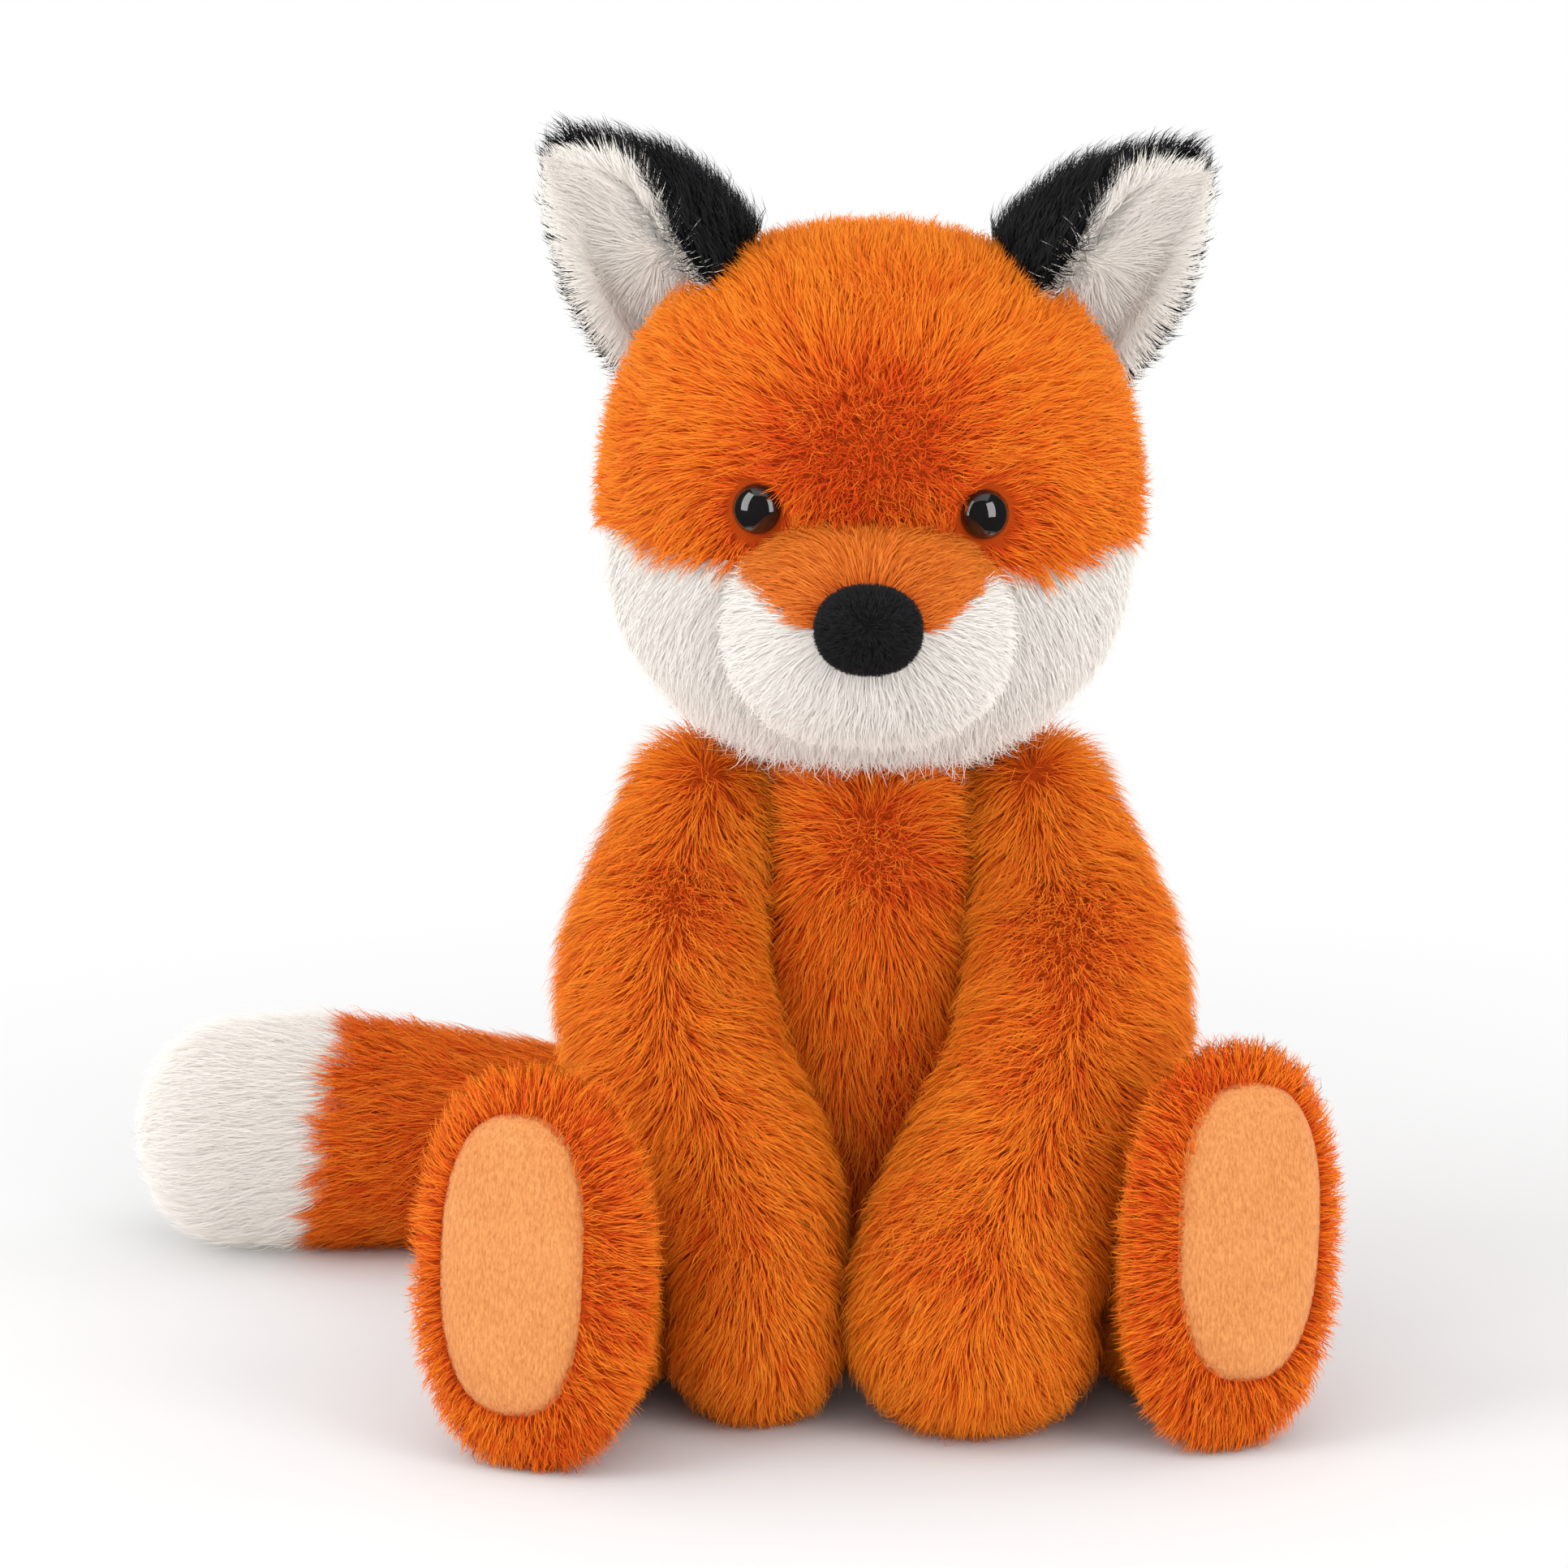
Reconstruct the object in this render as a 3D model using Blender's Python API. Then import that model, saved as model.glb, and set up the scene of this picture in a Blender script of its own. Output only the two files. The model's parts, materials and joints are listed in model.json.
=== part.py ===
"""Seated plush fox: pile-fabric covers over stuffing, with a head, limbs and tail that swing on their seams.

The fox faces -Y and sits on the plane z = 0, with the middle of its seat at the origin. Left and right are
the fox's own, so its left side is at +X. Lengths here are millimetres, turned into metres as meshes are made.
"""

from math import asin, cos, pi, radians, sin, sqrt

import bmesh
import bpy
from mathutils import Vector

MM = 0.001
GAP = 0.4  # between pieces that touch
PILE = 4.5  # pile fabric: its backing and the pile that lies over it
STUFFED = PILE + 1.2  # how far inside a cover's surface its stuffing ends
DOME_ANGLES = (30, 57, 77)  # degrees towards the pole, for the rings of a rounded end

# Sides of a ring and rings to a station, of an outer surface and of one that lies inside a cover
LIMB_DETAIL, LIMB_INNER_DETAIL = (16, 2), (12, 1)
BODY_DETAIL, BODY_INNER_DETAIL = (26, 2), (18, 1)

# Seat and torso, as levels of height, middle's y, half width and half depth
TORSO_TOP = 150.6
TORSO_LEVELS = (
    (0, 2, 41, 35),
    (13, 2, 49, 42),
    (34, 2, 50, 43),
    (60, 1, 45, 38),
    (90, -1, 37, 32),
    (118, -3, 29.5, 28),
    (138, -3, 26, 25),
    (TORSO_TOP, -3, 22, 22),
)

# Head: a rounded block, fuller towards the jaw, that ends in a flat neck opening
NECK_HEIGHT = 151.5
HEAD_ROLL = 1.3  # degrees, towards the fox's left
HEAD_TOP = 277
HEAD_MIDDLE = 209
HEAD_BOTTOM = 149
HEAD_CENTRE_Y = -4
HEAD_HALF_WIDTH = 64.5
HEAD_HALF_DEPTH = 55
NECK_Y = -3
NECK_RADIUS = 17
WHITE_FACE_TOP = 203  # height of the seam between crown and white face
WHITE_FACE_BACK = 12  # how far behind the middle the white reaches

# Muzzle, along -Y
MUZZLE_ROOT_Y = -26
MUZZLE_STRAIGHT_Y = -44
MUZZLE_TIP_Y = -89
MUZZLE_Z = 187.5
MUZZLE_RISE = 5
MUZZLE_HALF_WIDTH = 34
MUZZLE_HALF_HEIGHT = 26
MUZZLE_SQUARENESS = 2.5
MUZZLE_SEAM_LOW = 186.3  # where the two seams of the top panel would meet under the nose
MUZZLE_SEAM_SLOPE = 0.63
NOSE_CENTRE = (0, -89.5, 194.5)
NOSE_HALF_SIZE = (12.3, 8.5, 10.3)

# Safety eyes
EYE_RADIUS = 6
EYE_DOME = 4.4
EYE_X = 27.5
EYE_Z = 216
EYE_SET_BACK = 3.0  # the eye's flange lies this far under the pile's surface
SHANK_RADIUS = 1.5
SHANK_LENGTH = 12
WASHER_RADIUS = 7
WASHER_THICKNESS = 1.2

# Ears: cups whose level sections are arcs, open to the front and outward. Where two values are given, the
# first is at the base and the second at the tip.
EAR_BASE = (46.8, 0, 257.5)
EAR_LEAN = 37  # degrees outward
EAR_HEIGHT = 48.5
EAR_HALF_WIDTH = 25.2  # as seen from the front
EAR_ROOT = 24  # how far each panel runs down past the base, to meet the head
EAR_RADIUS = (25.7, 14)
EAR_TURN = (40, 26)  # degrees that the opening looks outward
EAR_AXIS_FORWARD = (-1, 10.6)  # how far the arcs' middles lie in front of the base
EAR_BACK_THICKNESS = 5
EAR_FRONT_THICKNESS = 3.5
EAR_FRONT_INSET = 3

# Limbs and tail, as stations of x, y, z, half width and half depth
RIGHT_ARM = (
    (-40, -4, 133, 19, 19),
    (-46, -12, 117, 21.5, 20.5),
    (-50.5, -26, 97, 24, 22.5),
    (-45, -41, 76, 24.5, 22.5),
    (-32.5, -55, 55, 22.5, 22),
    (-27.8, -65, 36, 20.5, 22.5),
    (-27.2, -68, 24, 20.3, 22),
)
LEFT_ARM = (
    (40, -4, 133, 19, 19),
    (46, -12, 117, 22, 20.5),
    (50, -27, 97, 25.5, 23),
    (47, -43, 76, 27, 23),
    (35.5, -59, 55, 28, 23),
    (25.5, -73, 36, 27.8, 23.5),
    (24.3, -77.5, 24.5, 27.8, 23.5),
)
ARM_DOMES = (19, 23.5)
RIGHT_LEG = (
    (-51, -14, 24, 19, 19),
    (-60.5, -40, 22, 19, 19.5),
    (-68, -64, 24, 19.5, 22),
    (-72.5, -80, 30, 22, 28),
    (-75.5, -91, 41, 26, 39.5),
    (-78, -101, 46.3, 28.5, 46),
)
LEFT_LEG = (
    (51, -12, 24, 19, 19),
    (61.5, -33, 22, 19, 19.5),
    (72.5, -52, 24, 19, 22),
    (78.5, -66, 31, 21.5, 29),
    (82, -77, 42.5, 24.5, 41),
    (84.5, -86.5, 47.5, 26.7, 47),
)
LEG_DOMES = (19, 12)
TAIL = (
    (-16, 58.5, 25, 15, 15),
    (-38, 70, 26, 20, 20),
    (-65, 75, 26, 22.5, 22.3),
    (-101, 76, 27.5, 26, 26),
    (-141, 76, 29.5, 29, 29),
    (-163, 76, 29.5, 28.5, 28.5),
)
TAIL_DOMES = (15, 27)
TAIL_TIP_X = -142.5
TAIL_OPENING_RADIUS = 9

# Seats: where the torso's side is flat and gives a limb's round root room to turn
SHOULDER_SEAT_X = 27
HIP_SEAT_X = 36
SEAT_MARGIN = 0.9
ARM_CLEARANCE = 1.1  # more room beside the torso, so that an arm swings past its widest part

# Feet: degrees that a leg turns outward, that its sole leans back and that it rolls outward
LEFT_FOOT = (24, 8, 6)
RIGHT_FOOT = (-20, 8, -1)

# Foot pads
PAD_HALF_WIDTH = 18.6
PAD_HALF_HEIGHT = 34.7
PAD_SQUARENESS = 2.5
PAD_THICKNESS = 4
PAD_CROWN = 2.5
PAD_SET_BACK = 2.0
PAD_SHIFT = {"left": (1, 3.7), "right": (-1.8, 1.5)}  # from the middle of the sole, across and up

# Pellet bag in the seat
BAG_CENTRE = (0, 3, 17.5)
BAG_HALF_SIZE = (29, 30, 11.5)
STUFFING_BOTTOM = 17

ORANGE = (0.78, 0.16, 0.02, 1)
BROWN_ORANGE = (0.55, 0.13, 0.03, 1)
WHITE = (0.87, 0.85, 0.82, 1)
BLACK = (0.012, 0.012, 0.015, 1)
PEACH = (0.95, 0.42, 0.15, 1)
FIBRE = (0.9, 0.9, 0.9, 1)


def clear_scene():
    for obj in list(bpy.data.objects):
        bpy.data.objects.remove(obj, do_unlink=True)


def new_material(name, colour, roughness):
    material = bpy.data.materials.new(name)
    material.use_nodes = True
    shader = material.node_tree.nodes["Principled BSDF"]
    shader.inputs["Base Color"].default_value = colour
    shader.inputs["Roughness"].default_value = roughness
    shader.inputs["Metallic"].default_value = 0
    return material


def new_pivot(name, place, roll=0.0):
    """An empty on a joint's axis, which carries the pieces that turn with it."""
    pivot = bpy.data.objects.new(name, None)
    pivot.location = Vector(place) * MM
    pivot.rotation_euler = (0, roll, 0)
    pivot.empty_display_size = 10 * MM
    bpy.context.scene.collection.objects.link(pivot)
    return pivot


def new_object(name, bm, pivot, material=None):
    """An object on its pivot, from a mesh whose points are millimetres in the fox's frame."""
    bmesh.ops.recalc_face_normals(bm, faces=bm.faces)
    for vert in bm.verts:
        vert.co = vert.co * MM - pivot.location
    mesh = bpy.data.meshes.new(name)
    bm.to_mesh(mesh)
    bm.free()
    mesh.shade_smooth()
    obj = bpy.data.objects.new(name, mesh)
    obj.parent = pivot
    if material is None:
        obj.hide_render = True
        obj.display_type = "WIRE"
    else:
        mesh.materials.append(material)
    bpy.context.scene.collection.objects.link(obj)
    return obj


def cut(piece, tool, operation="DIFFERENCE"):
    modifier = piece.modifiers.new(f"{operation.lower()} {tool.name}", "BOOLEAN")
    modifier.operation = operation
    modifier.solver = "EXACT"
    modifier.object = tool


def lofted(name, rings, pivot, material=None, start=None, end=None):
    """A closed solid through rings of equal counts. Each end is a pole where one is given, or else a flat cap."""
    bm = bmesh.new()
    loops = [[bm.verts.new(point) for point in ring] for ring in rings]
    for low, high in zip(loops, loops[1:]):
        for i in range(len(low)):
            j = (i + 1) % len(low)
            bm.faces.new((low[i], low[j], high[j], high[i]))
    for loop, pole in ((loops[0], start), (loops[-1], end)):
        if pole is None:
            bm.faces.new(loop)
            continue
        tip = bm.verts.new(pole)
        for i in range(len(loop)):
            bm.faces.new((loop[i], loop[(i + 1) % len(loop)], tip))
    return new_object(name, bm, pivot, material)


def ellipse(centre, across, up, half_across, half_up, sides, squareness=2):
    """Points round an ellipse, or round a fuller oval where its squareness is over 2."""
    points = []
    for i in range(sides):
        angle = 2 * pi * i / sides
        x, y = cos(angle), sin(angle)
        reach = (abs(x) ** squareness + abs(y) ** squareness) ** (-1 / squareness)
        points.append(centre + across * (half_across * x * reach) + up * (half_up * y * reach))
    return points


def smoothed(stations, steps):
    """Points of a Catmull-Rom curve through the stations, whatever number of values each has."""
    points = [Vector(station) for station in stations]
    points = [2 * points[0] - points[1], *points, 2 * points[-1] - points[-2]]
    found = []
    for before, a, b, after in zip(points, points[1:], points[2:], points[3:]):
        for step in range(steps):
            t = step / steps
            bend = 2 * before - 5 * a + 4 * b - after
            twist = 3 * (a - b) + after - before
            found.append(a + 0.5 * t * (b - before + t * (bend + t * twist)))
    return [*found, points[-2]]


def foot_frame(turn, lean, roll):
    """Which way a sole looks, and the directions across and up it."""
    turn, lean, roll = map(radians, (turn, lean, roll))
    level = Vector((cos(turn), sin(turn), 0))
    out = Vector((sin(turn) * cos(lean), -cos(turn) * cos(lean), sin(lean)))
    rise = level.cross(-out)
    across = level * cos(roll) - rise * sin(roll)
    return out, across, level * sin(roll) + rise * cos(roll)


def limb(name, stations, domes, inset, pivot, material=None, side=(1, 0, 0), frame=None):
    """A limb with a rounded end beyond its first and last station.

    Its rings are square to its path, with their half width along the direction side, or lie in a fixed frame.
    """
    side = Vector(side)
    sides, steps = LIMB_INNER_DETAIL if inset > 0 else LIMB_DETAIL
    path = smoothed(stations, steps)
    middles = [Vector(point[:3]) for point in path]
    frames = []
    for i, middle in enumerate(middles):
        along = (middles[min(i + 1, len(path) - 1)] - middles[max(i - 1, 0)]).normalized()
        across = (side - along * along.dot(side)).normalized()
        frames.append(frame or (along, across, along.cross(across)))
    rings = []
    for point, middle, (_, across, up) in zip(path, middles, frames):
        rings.append(ellipse(middle, across, up, point[3] - inset, point[4] - inset, sides))
    poles = []
    for end, reach, sign in ((0, domes[0] - inset, -1), (-1, domes[1] - inset, 1)):
        along, across, up = frames[end]
        half_across, half_up = path[end][3] - inset, path[end][4] - inset
        dome = []
        for angle in map(radians, DOME_ANGLES):
            middle = middles[end] + along * (sign * reach * sin(angle))
            dome.append(ellipse(middle, across, up, half_across * cos(angle), half_up * cos(angle), sides))
        rings = rings + dome if sign > 0 else dome[::-1] + rings
        poles.append(middles[end] + along * (sign * reach))
    return lofted(name, rings, pivot, material, *poles)


def block(name, low, high, pivot):
    """A box between two corners, as a cutting tool."""
    bm = bmesh.new()
    bmesh.ops.create_cube(bm, size=1)
    for vert in bm.verts:
        vert.co = Vector([low[i] + (vert.co[i] + 0.5) * (high[i] - low[i]) for i in range(3)])
    return new_object(name, bm, pivot)


def extruded(name, outline, low, high, axis, pivot):
    """A cutting tool whose outline, in the other two axes in order, is drawn out along one axis."""
    others = [i for i in range(3) if i != axis]
    bm = bmesh.new()
    loops = []
    for level in (low, high):
        loop = []
        for first, second in outline:
            point = [level] * 3
            point[others[0]], point[others[1]] = first, second
            loop.append(bm.verts.new(point))
        loops.append(loop)
    for i in range(len(outline)):
        j = (i + 1) % len(outline)
        bm.faces.new((loops[0][i], loops[0][j], loops[1][j], loops[1][i]))
    for loop in loops:
        bm.faces.new(loop)
    return new_object(name, bm, pivot)


def turned(name, profile, foot, axis, pivot, material=None, sides=16):
    """A solid turned about an axis, from steps of distance along it and radius."""
    axis = axis.normalized()
    across = axis.orthogonal().normalized()
    up = axis.cross(across)
    foot = Vector(foot)
    rings = [ellipse(foot + axis * far, across, up, radius, radius, sides) for far, radius in profile if radius > 0]
    start, end = [foot + axis * far if radius == 0 else None for far, radius in (profile[0], profile[-1])]
    return lofted(name, rings, pivot, material, start, end)


def ellipsoid(name, centre, half, pivot, material=None, sides=16, rows=7):
    """An ellipsoid, with its poles along Y."""
    centre = Vector(centre)
    x, y, z = Vector((1, 0, 0)), Vector((0, 1, 0)), Vector((0, 0, 1))
    rings = []
    for row in range(1, rows):
        angle = pi * row / rows
        middle = centre - y * (half[1] * cos(angle))
        rings.append(ellipse(middle, x, z, half[0] * sin(angle), half[2] * sin(angle), sides))
    return lofted(name, rings, pivot, material, centre - y * half[1], centre + y * half[1])


def seat_outline(middle_y, middle_z, radius, thigh):
    """A limb root's room, in y and z: a circle, or for a thigh a circle that is open to the front and down."""
    start, stop = (radians(90), radians(-45)) if thigh else (radians(90), radians(-270))
    count = 12 if thigh else 24
    angles = [start + (stop - start) * i / count for i in range(count + thigh)]
    outline = [(middle_y + radius * cos(a), middle_z + radius * sin(a)) for a in angles]
    if thigh:
        outline += [(outline[-1][0], -20), (-80, -20), (-80, middle_z + radius)]
    return outline


def add_seats(piece, inset, pivot):
    """Cuts the four limb seats out of a form of the torso that lies inset within its outer surface."""
    for side, sign in (("left", 1), ("right", -1)):
        seats = (
            ("shoulder", LEFT_ARM if sign > 0 else RIGHT_ARM, SHOULDER_SEAT_X, False),
            ("hip", LEFT_LEG if sign > 0 else RIGHT_LEG, HIP_SEAT_X, True),
        )
        for joint, stations, flat, thigh in seats:
            _, middle_y, middle_z, radius, _ = stations[0]
            outline = seat_outline(middle_y, middle_z, radius + SEAT_MARGIN + inset, thigh)
            low, high = sorted((sign * (flat - inset), sign * 90))
            name = f"{piece.name}_{side}_{joint}_seat"
            cut(piece, extruded(name, outline, low, high, 0, pivot))


def torso_form(name, inset, top, pivot, material=None, bottom=None, swell=0.0):
    """The torso's shape, inset all round, from its flat seat up to a flat top, with the limbs' seats cut.

    A swell widens its sides and leaves its seats as they are.
    """
    across, back = Vector((1, 0, 0)), Vector((0, 1, 0))
    sides, steps = BODY_INNER_DETAIL if inset > 0 else BODY_DETAIL
    levels = smoothed(TORSO_LEVELS, steps)
    bottom = inset if bottom is None else bottom
    rings = []
    for z, middle_y, half_width, half_depth in levels:
        height = inset + z * (top - inset) / TORSO_TOP
        if height < bottom:
            continue
        middle = Vector((0, middle_y, height))
        size = half_width - inset + swell, half_depth - inset + swell
        rings.append(ellipse(middle, across, back, *size, sides))
    form = lofted(name, rings, pivot, material)
    add_seats(form, inset, pivot)
    return form


def head_ring(z, inset):
    reach = HEAD_TOP - HEAD_MIDDLE if z > HEAD_MIDDLE else HEAD_MIDDLE - HEAD_BOTTOM
    fullness = 2.3 if z > HEAD_MIDDLE else 2.8
    share = min(abs(z - HEAD_MIDDLE) / (reach - inset), 1)
    scale = (1 - share**fullness) ** (1 / 2.2)
    half_width = (HEAD_HALF_WIDTH - inset) * scale
    half_depth = (HEAD_HALF_DEPTH - inset) * scale
    middle = Vector((0, HEAD_CENTRE_Y, z))
    sides = (BODY_INNER_DETAIL if inset > 0 else BODY_DETAIL)[0]
    return ellipse(middle, Vector((1, 0, 0)), Vector((0, 1, 0)), half_width, half_depth, sides)


def head_form(name, inset, bottom, pivot, material=None):
    """The head's shape, inset all round, down to a flat bottom at the neck."""
    top = HEAD_TOP - inset
    rings = []
    for step in range(1, 7):
        rings.append(head_ring(HEAD_MIDDLE + (top - HEAD_MIDDLE) * cos(pi / 2 * step / 6), inset))
    for step in range(1, 6):
        rings.append(head_ring(HEAD_MIDDLE + (bottom - HEAD_MIDDLE) * sin(pi / 2 * step / 5), inset))
    return lofted(name, rings, pivot, material, start=Vector((0, HEAD_CENTRE_Y, top)))


def muzzle_form(name, inset, pivot, material=None):
    """The muzzle's shape, inset all round: straight inside the head, then a dome that rises to the nose."""
    across, up = Vector((1, 0, 0)), Vector((0, 0, 1))
    straight = MUZZLE_STRAIGHT_Y
    tip = MUZZLE_TIP_Y + inset
    half_width, half_height = MUZZLE_HALF_WIDTH - inset, MUZZLE_HALF_HEIGHT - inset
    root = Vector((0, MUZZLE_ROOT_Y, MUZZLE_Z))
    sides = (BODY_INNER_DETAIL if inset > 0 else BODY_DETAIL)[0]
    rings = [ellipse(root, across, up, half_width, half_height, sides, MUZZLE_SQUARENESS)]
    for angle in map(radians, (0, 20, 38, 54, 68, 80)):
        share = sin(angle)
        scale = (1 - share**2.4) ** (1 / 2.2)
        middle = Vector((0, straight + (tip - straight) * share, MUZZLE_Z + MUZZLE_RISE * share**2))
        size = half_width * scale, half_height * scale
        rings.append(ellipse(middle, across, up, *size, sides, MUZZLE_SQUARENESS))
    return lofted(name, rings, pivot, material, end=Vector((0, tip, MUZZLE_Z + MUZZLE_RISE)))


def muzzle_wedge(name, drop, pivot):
    """The room over the top panel's two slanting seams, lowered by drop."""
    low = MUZZLE_SEAM_LOW - drop
    reach = 60
    high = low + MUZZLE_SEAM_SLOPE * reach
    outline = [(0, low), (reach, high), (reach, 240), (-reach, 240), (-reach, high)]
    return extruded(name, outline, -120, -10, 1, pivot)


def eye_place(sign):
    """The point of the head's surface where an eye sits, and the direction that it looks in."""
    x = sign * EYE_X
    reach = HEAD_TOP - HEAD_MIDDLE
    scale = (1 - ((EYE_Z - HEAD_MIDDLE) / reach) ** 2.3) ** (1 / 2.2)
    depth = sqrt(1 - (EYE_X / (HEAD_HALF_WIDTH * scale)) ** 2) * HEAD_HALF_DEPTH * scale
    place = Vector((x, HEAD_CENTRE_Y - depth, EYE_Z))
    look = Vector((x / HEAD_HALF_WIDTH**2, -depth / HEAD_HALF_DEPTH**2, 7 / reach**2)).normalized()
    return place, look


def ear_section(v):
    """An ear's section at height v: radius, turn, half angle of its arc and the place of the arc's middle."""
    share = max(v / EAR_HEIGHT, 0)
    half_width = EAR_HALF_WIDTH * (1 - share**2.5) ** 0.8
    radius, turn, forward = (a + (b - a) * share**2 for a, b in (EAR_RADIUS, EAR_TURN, EAR_AXIS_FORWARD))
    turn = radians(turn)
    if half_width > radius * cos(turn) ** 2:
        half_angle = turn + asin(2 * half_width / radius - 1)
        reach = radius
    else:
        half_angle = asin(half_width / (radius * cos(turn)))
        reach = radius * sin(half_angle + turn)
    return radius, turn, half_angle, reach - half_width, forward


def ear_panel(name, sign, low, high, inset, pivot, material):
    """One cupped panel of an ear, between two depths under the ear's outer surface."""
    lean = radians(EAR_LEAN)
    up = Vector((sign * sin(lean), 0, cos(lean)))
    outward = Vector((sign * cos(lean), 0, -sin(lean)))
    front = Vector((0, -1, 0))
    base = Vector((sign * EAR_BASE[0], EAR_BASE[1], EAR_BASE[2]))
    height = EAR_HEIGHT - inset
    rings = []
    for v in (-EAR_ROOT, 0, height * 0.3, height * 0.55, height * 0.75, height * 0.9, height * 0.975):
        radius, turn, half_angle, aside, forward = ear_section(v)
        half_angle -= inset / radius
        middle = base + up * v + outward * aside + front * forward
        ring = []
        for level, steps in ((low, range(-6, 7)), (high, range(6, -7, -1))):
            for step in steps:
                angle = half_angle * sin(pi / 2 * step / 6) - turn
                swell = 0.3 + 0.7 * sqrt(1 - 0.9 * (step / 6) ** 4)
                far = radius - (low + high) / 2 - (level - (low + high) / 2) * swell
                ring.append(middle + outward * (far * sin(angle)) - front * (far * cos(angle)))
        rings.append(ring)
    return lofted(name, rings, pivot, material)


def build_torso(pivot, materials):
    cover = torso_form("torso_cover", 0, TORSO_TOP, pivot, materials["orange"])
    cut(cover, torso_form("torso_cavity", PILE, TORSO_TOP + 5, pivot))
    stuffing = torso_form("torso_stuffing", STUFFED, TORSO_TOP - 1, pivot, materials["fibre"], STUFFING_BOTTOM)
    ellipsoid("pellet_bag", BAG_CENTRE, BAG_HALF_SIZE, pivot, materials["cloth"])
    room = [half + GAP for half in BAG_HALF_SIZE]
    cut(stuffing, ellipsoid("pellet_bag_room", BAG_CENTRE, room, pivot))


def build_head(pivot, materials):
    bottom = NECK_HEIGHT
    crown = head_form("crown_cover", 0, bottom, pivot, materials["orange"])
    face = head_form("face_cover", 0, bottom, pivot, materials["white"])
    stuffing = head_form("head_stuffing", STUFFED, bottom + STUFFED, pivot, materials["fibre"])
    cavity = head_form("head_cavity", PILE, bottom + PILE, pivot)
    neck = turned("neck_opening", ((-10, NECK_RADIUS), (20, NECK_RADIUS)), (0, NECK_Y, bottom), Vector((0, 0, 1)), pivot)
    opening = muzzle_form("muzzle_opening", PILE, pivot)
    white = (-90, -90, 100), (90, WHITE_FACE_BACK, WHITE_FACE_TOP)
    cut(crown, block("white_face_room", *white, pivot))
    low, high = white
    cut(face, block("white_face", low, [value - GAP for value in high], pivot), "INTERSECT")
    for piece in (crown, face):
        cut(piece, cavity)
        cut(piece, neck)
        cut(piece, opening)
    build_muzzle(pivot, materials)
    for side, sign in (("left", 1), ("right", -1)):
        build_eye(side, sign, crown, stuffing, pivot, materials)
        build_ear(side, sign, pivot, materials)


def build_muzzle(pivot, materials):
    outside = head_form("head_around_muzzle", -GAP, NECK_HEIGHT, pivot)
    cavity = muzzle_form("muzzle_cavity", PILE, pivot)
    top = muzzle_form("muzzle_top_cover", 0, pivot, materials["brown"])
    lower = muzzle_form("muzzle_cover", 0, pivot, materials["white"])
    cut(top, muzzle_wedge("muzzle_top_room", 0, pivot), "INTERSECT")
    cut(lower, muzzle_wedge("muzzle_lower_room", GAP, pivot))
    for piece in (top, lower):
        cut(piece, cavity)
        cut(piece, outside)
    stuffing = muzzle_form("muzzle_stuffing", STUFFED, pivot, materials["fibre"])
    cut(stuffing, head_form("head_behind_muzzle", PILE, NECK_HEIGHT + PILE, pivot))
    nose = ellipsoid("nose", NOSE_CENTRE, NOSE_HALF_SIZE, pivot, materials["black"])
    cut(nose, muzzle_form("muzzle_behind_nose", -GAP, pivot))


def build_eye(side, sign, crown, stuffing, pivot, materials):
    place, look = eye_place(sign)
    flange = -EYE_SET_BACK
    dome = [(flange + 0.8 + EYE_DOME * sin(a), EYE_RADIUS * cos(a)) for a in map(radians, (0, 22, 44, 66))]
    profile = [
        (flange - SHANK_LENGTH, SHANK_RADIUS),
        (flange, SHANK_RADIUS),
        (flange, EYE_RADIUS),
        *dome,
        (flange + 0.8 + EYE_DOME, 0),
    ]
    turned(f"{side}_eye", profile, place, look, pivot, materials["gloss_black"])
    hole = SHANK_RADIUS + GAP
    room = [(-PILE - 4, WASHER_RADIUS + GAP), (-PILE, WASHER_RADIUS + GAP), (-PILE, hole)]
    room += [(flange - GAP, hole), (flange - GAP, EYE_RADIUS + GAP), (6, EYE_RADIUS + GAP)]
    cut(crown, turned(f"{side}_eye_room", room, place, look, pivot))
    back = -PILE - GAP - WASHER_THICKNESS
    ring = [(back, SHANK_RADIUS + 0.2), (back, WASHER_RADIUS)]
    ring += [(back + WASHER_THICKNESS, WASHER_RADIUS), (back + WASHER_THICKNESS, SHANK_RADIUS + 0.2)]
    build_ring(f"{side}_eye_washer", ring, place, look, pivot, materials["nylon"])
    deep = flange - SHANK_LENGTH - 1
    pocket = ((deep, WASHER_RADIUS + GAP), (0, WASHER_RADIUS + GAP))
    cut(stuffing, turned(f"{side}_washer_pocket", pocket, place, look, pivot))


def build_ring(name, profile, foot, axis, pivot, material, sides=14):
    """A ring turned about an axis from a closed outline of distance along it and radius."""
    across = axis.orthogonal().normalized()
    up = axis.cross(across)
    bm = bmesh.new()
    loops = []
    for far, radius in profile:
        ring = ellipse(foot + axis * far, across, up, radius, radius, sides)
        loops.append([bm.verts.new(point) for point in ring])
    for low, high in zip(loops, loops[1:] + loops[:1]):
        for i in range(sides):
            j = (i + 1) % sides
            bm.faces.new((low[i], low[j], high[j], high[i]))
    return new_object(name, bm, pivot, material)


def build_ear(side, sign, pivot, materials):
    head = head_form(f"head_under_{side}_ear", -GAP, NECK_HEIGHT, pivot)
    back = ear_panel(f"{side}_ear_back", sign, 0, EAR_BACK_THICKNESS, 0, pivot, materials["black"])
    low = EAR_BACK_THICKNESS + 2 * GAP
    high = low + EAR_FRONT_THICKNESS
    front = ear_panel(f"{side}_ear_front", sign, low, high, EAR_FRONT_INSET, pivot, materials["white"])
    for panel in (back, front):
        cut(panel, head)


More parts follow.
